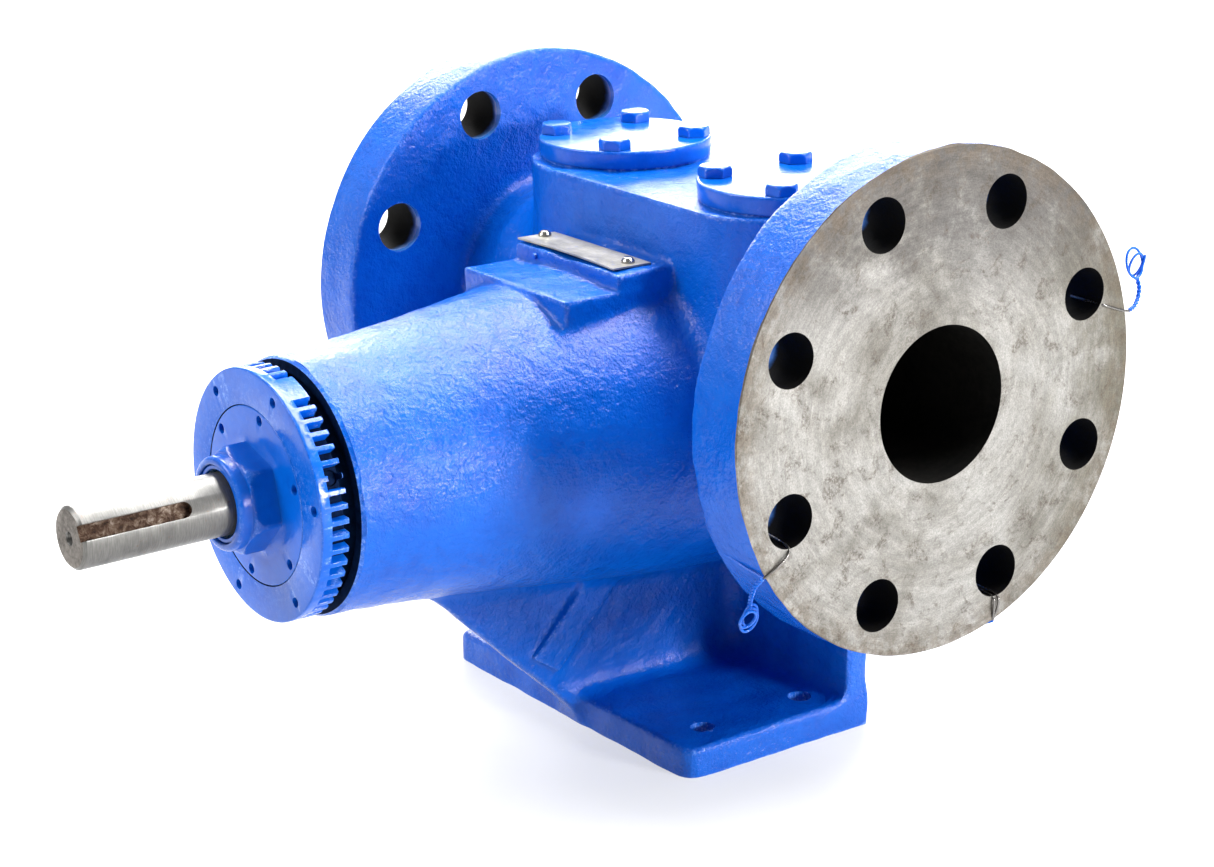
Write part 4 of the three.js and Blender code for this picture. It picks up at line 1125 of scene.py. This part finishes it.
def build_tag_wires():
    """Leftover tie wires through three holes of the right flange, their tails painted over in blue."""
    wire("wire_1_leg", [
        (-16, 86.2, 194.2), (-6, 86.6, 194.0), (0.6, 87.6, 193.6), (1.2, 90, 192.8), (1.2, 96, 190.4),
        (1.0, 101, 188.6), (-0.6, 104.8, 187.9),
    ], WIRE, "tag_wire_1")
    twisted("wire_1_tail", [
        (-0.6, 104.8, 187.9), (-2, 109.5, 188.6), (-4, 113.5, 191), (-5, 115.2, 195), (-6, 114.4, 199.5),
    ], 5)
    wire_loop("wire_1_loop_1", (-6, 112.6, 206.0), 4.8, 6.4, -math.pi / 2, -1.6)
    wire_loop("wire_1_loop_2", (-6.5, 114.0, 205.0), 3.8, 5.2, -math.pi / 2, 1.4)
    wire("wire_1_end", [
        (-6, 114.4, 199.5), (-6, 116, 202), (-5, 117.8, 205.5), (-5, 117.6, 209),
    ], WIRE_BLUE)
    wire("wire_2_leg", [
        (-16, -76.4, 125.6), (-6, -76.8, 125.4), (0.6, -77.4, 124.4), (1.2, -79.6, 121.8), (1.1, -86, 117.6),
        (-0.2, -90.6, 115),
    ], WIRE, "tag_wire_2")
    wire("wire_2_back", [
        (-0.2, -90.6, 115), (-8, -91.8, 116.5), (-18, -92.2, 118.4), (-28, -92.0, 120), (-30, -88, 124),
    ], WIRE_BLUE)
    twisted("wire_2_tail", [
        (-0.2, -91, 115), (-3, -92.8, 111), (-5, -93, 106), (-7, -92, 101),
    ], 5)
    for index, (shift, wide, tall) in enumerate(((0, 4.4, 5.4), (3.0, 3.6, 5.0), (-2.6, 4.0, 3.8))):
        centre = (-8 - shift, -91.5 + shift, 101 - tall)
        wire_loop(f"wire_2_loop_{index + 1}", centre, wide, tall, math.pi / 2, 1.5)
    for index, shift in enumerate((-1.4, 1.2)):
        wire(f"wire_3_leg_{index + 1}", [
            (-16, 32 + shift, 79.8), (-6, 32.2 + shift, 79.6), (0.6, 32.4 + shift, 79.0),
            (1.3, 32.3 + shift, 77), (1.0, 32 + 0.7 * shift, 72), (-0.3, 31.6, 68.2),
        ], WIRE, *(["tag_wire_3"] if index == 0 else []))
    twisted("wire_3_tail", [
        (-0.3, 31.6, 68.2), (-3, 31, 66.6), (-7, 30, 66), (-11, 28, 65.6),
    ], 4)


# ---- finishes of the inner CAD nodes
INNER_FINISH = {
    GROUND: ["idler_pin", "bearing_inner_race", "bearing_outer_race", "bearing_ball_cage", "seal_rotary"],
    # The set screw gets the dark navy painted shade, so that its socket reads as a dark hole.
    PAINTED_SHADE: ["housing_setscrew"],
    DARK_STEEL: ["locknut", "lock_washer", "bearing_spacer", "half_ring_1", "half_ring_2"],
    GEAR_IRON: ["rotor", "idler_gear", "seal_gland"],
    BRONZE: ["bracket_bushing", "idler_bushing"],
    RUBBER: ["inner_lip_seal"],
    FIBRE: ["head_gasket"],
    CARBON: ["seal_seat"],
}


def finish_inner_nodes():
    for material, nodes in INNER_FINISH.items():
        for node in nodes:
            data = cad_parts[node].data
            data.materials.clear()
            data.materials.append(material)


# ---- stage, lights and camera
def backdrop_material():
    """Pale matt floor with a glow of its own, which grows with the distance from the pump."""
    s = Shader("pale_floor")
    tint = s.ramp(s.noise(160, 3), (0.3, (0.36, 0.36, 0.355)), (0.7, (0.39, 0.39, 0.385)))
    gloss = s.band(s.noise(60, 2), 0.3, 0.7, 0.55, 0.65)
    x, y, _ = s.axes()
    far = s.band(s.radius_from(x, y), 0.6, 3.0, 0.0, 0.45)
    glow = s.math("ADD", s.band(s.noise(90, 2), 0.2, 0.8, 0.58, 0.62), far)
    return s.set(
        Base_Color=tint, Roughness=gloss, Specular_IOR_Level=0.15, Emission_Color=(1, 1, 1, 1),
        Emission_Strength=glow,
    )


LIGHTS_AIM = Vector((0, -0.06, 0.13))


def softbox(name, way, distance, size, radiance):
    """A rectangular light in a direction from the pump, facing it, with the brightness of its face."""
    data = bpy.data.lights.new(name, "AREA")
    data.shape = "RECTANGLE"
    data.size, data.size_y = size
    data.energy = radiance * math.pi * size[0] * size[1]
    light = link(bpy.data.objects.new(name, data))
    light.location = LIGHTS_AIM + Vector(way).normalized() * distance
    light.rotation_euler = (LIGHTS_AIM - light.location).to_track_quat("-Z", "Y").to_euler()
    light.visible_camera = False


BRIGHT_WAY = (-0.60, 0.45, 0.66)
WORLD_LEVEL = {"From Min": -0.45, "From Max": 0.9, "To Min": 0.07, "To Max": 0.7}


def studio_world():
    """White to the camera; for lighting, bright high up at the back and dark in front."""
    world = bpy.data.worlds.new("studio")
    bpy.context.scene.world = world
    world.use_nodes = True
    tree = world.node_tree
    nodes, links = tree.nodes, tree.links
    direction = nodes.new("ShaderNodeTexCoord").outputs["Generated"]
    toward = nodes.new("ShaderNodeVectorMath")
    toward.operation = "DOT_PRODUCT"
    links.new(direction, toward.inputs[0])
    toward.inputs[1].default_value = Vector(BRIGHT_WAY).normalized()
    level = nodes.new("ShaderNodeMapRange")
    level.interpolation_type = "SMOOTHSTEP"
    links.new(toward.outputs["Value"], level.inputs["Value"])
    for key, value in WORLD_LEVEL.items():
        level.inputs[key].default_value = value
    around = nodes["Background"]
    around.inputs["Color"].default_value = (0.97, 0.985, 1.0, 1)
    links.new(level.outputs["Result"], around.inputs["Strength"])
    white = nodes.new("ShaderNodeBackground")
    white.inputs["Color"].default_value = (1, 1, 1, 1)
    choose = nodes.new("ShaderNodeMixShader")
    links.new(nodes.new("ShaderNodeLightPath").outputs["Is Camera Ray"], choose.inputs[0])
    links.new(around.outputs[0], choose.inputs[1])
    links.new(white.outputs[0], choose.inputs[2])
    links.new(choose.outputs[0], nodes["World Output"].inputs["Surface"])


FLOOR_HALF = 9000


def build_stage():
    half = FLOOR_HALF
    points = [(-half, -half, 0), (half, -half, 0), (half, half, 0), (-half, half, 0)]
    mesh_object("floor", points, [[0, 1, 2, 3]], backdrop_material())
    studio_world()
    softbox("front", (-0.34, -0.80, 0.62), 2.1, (0.9, 0.8), 15.0)
    softbox("overhead", (-0.10, 0.37, 0.92), 2.0, (3.5, 0.42), 32.0)
    softbox("right", (0.92, 0.34, 0.18), 2.0, (0.45, 0.40), 78.0)
    softbox("back", (-0.80, 0.56, 0.32), 2.3, (1.9, 0.8), 11.0)
    bpy.context.scene.view_settings.view_transform = "Standard"


CAMERA_PLACE = (0.9457, -0.7395, 0.5021)
CAMERA_AZIMUTH, CAMERA_ELEVATION, CAMERA_ROLL = 54.0463, 17.7597, -0.7902
CAMERA_LENS, SENSOR_WIDTH = 84.3, 36.0


def build_camera():
    azimuth, elevation, roll = (math.radians(a) for a in (CAMERA_AZIMUTH, CAMERA_ELEVATION, CAMERA_ROLL))
    level = Vector((math.cos(azimuth), math.sin(azimuth), 0))
    out = math.cos(elevation)
    back = Vector((math.sin(azimuth) * out, -math.cos(azimuth) * out, math.sin(elevation)))
    upright = back.cross(level)
    right = level * math.cos(roll) + upright * math.sin(roll)
    up = back.cross(right)
    data = bpy.data.cameras.new("camera")
    data.sensor_width = SENSOR_WIDTH
    data.lens = CAMERA_LENS
    data.clip_start = 0.01
    camera = link(bpy.data.objects.new("camera", data))
    turn = Matrix((right, up, back)).transposed().to_4x4()
    camera.matrix_world = Matrix.Translation(CAMERA_PLACE) @ turn
    bpy.context.scene.camera = camera


build_camera()
build_stage()
build_casting()
build_valve_covers()
build_rear_head()
build_housing()
build_end_cap()
build_lip_seal()
build_shaft()
build_nameplate()
build_drive_screws()
build_riser_pin()
build_tag_wires()
finish_inner_nodes()
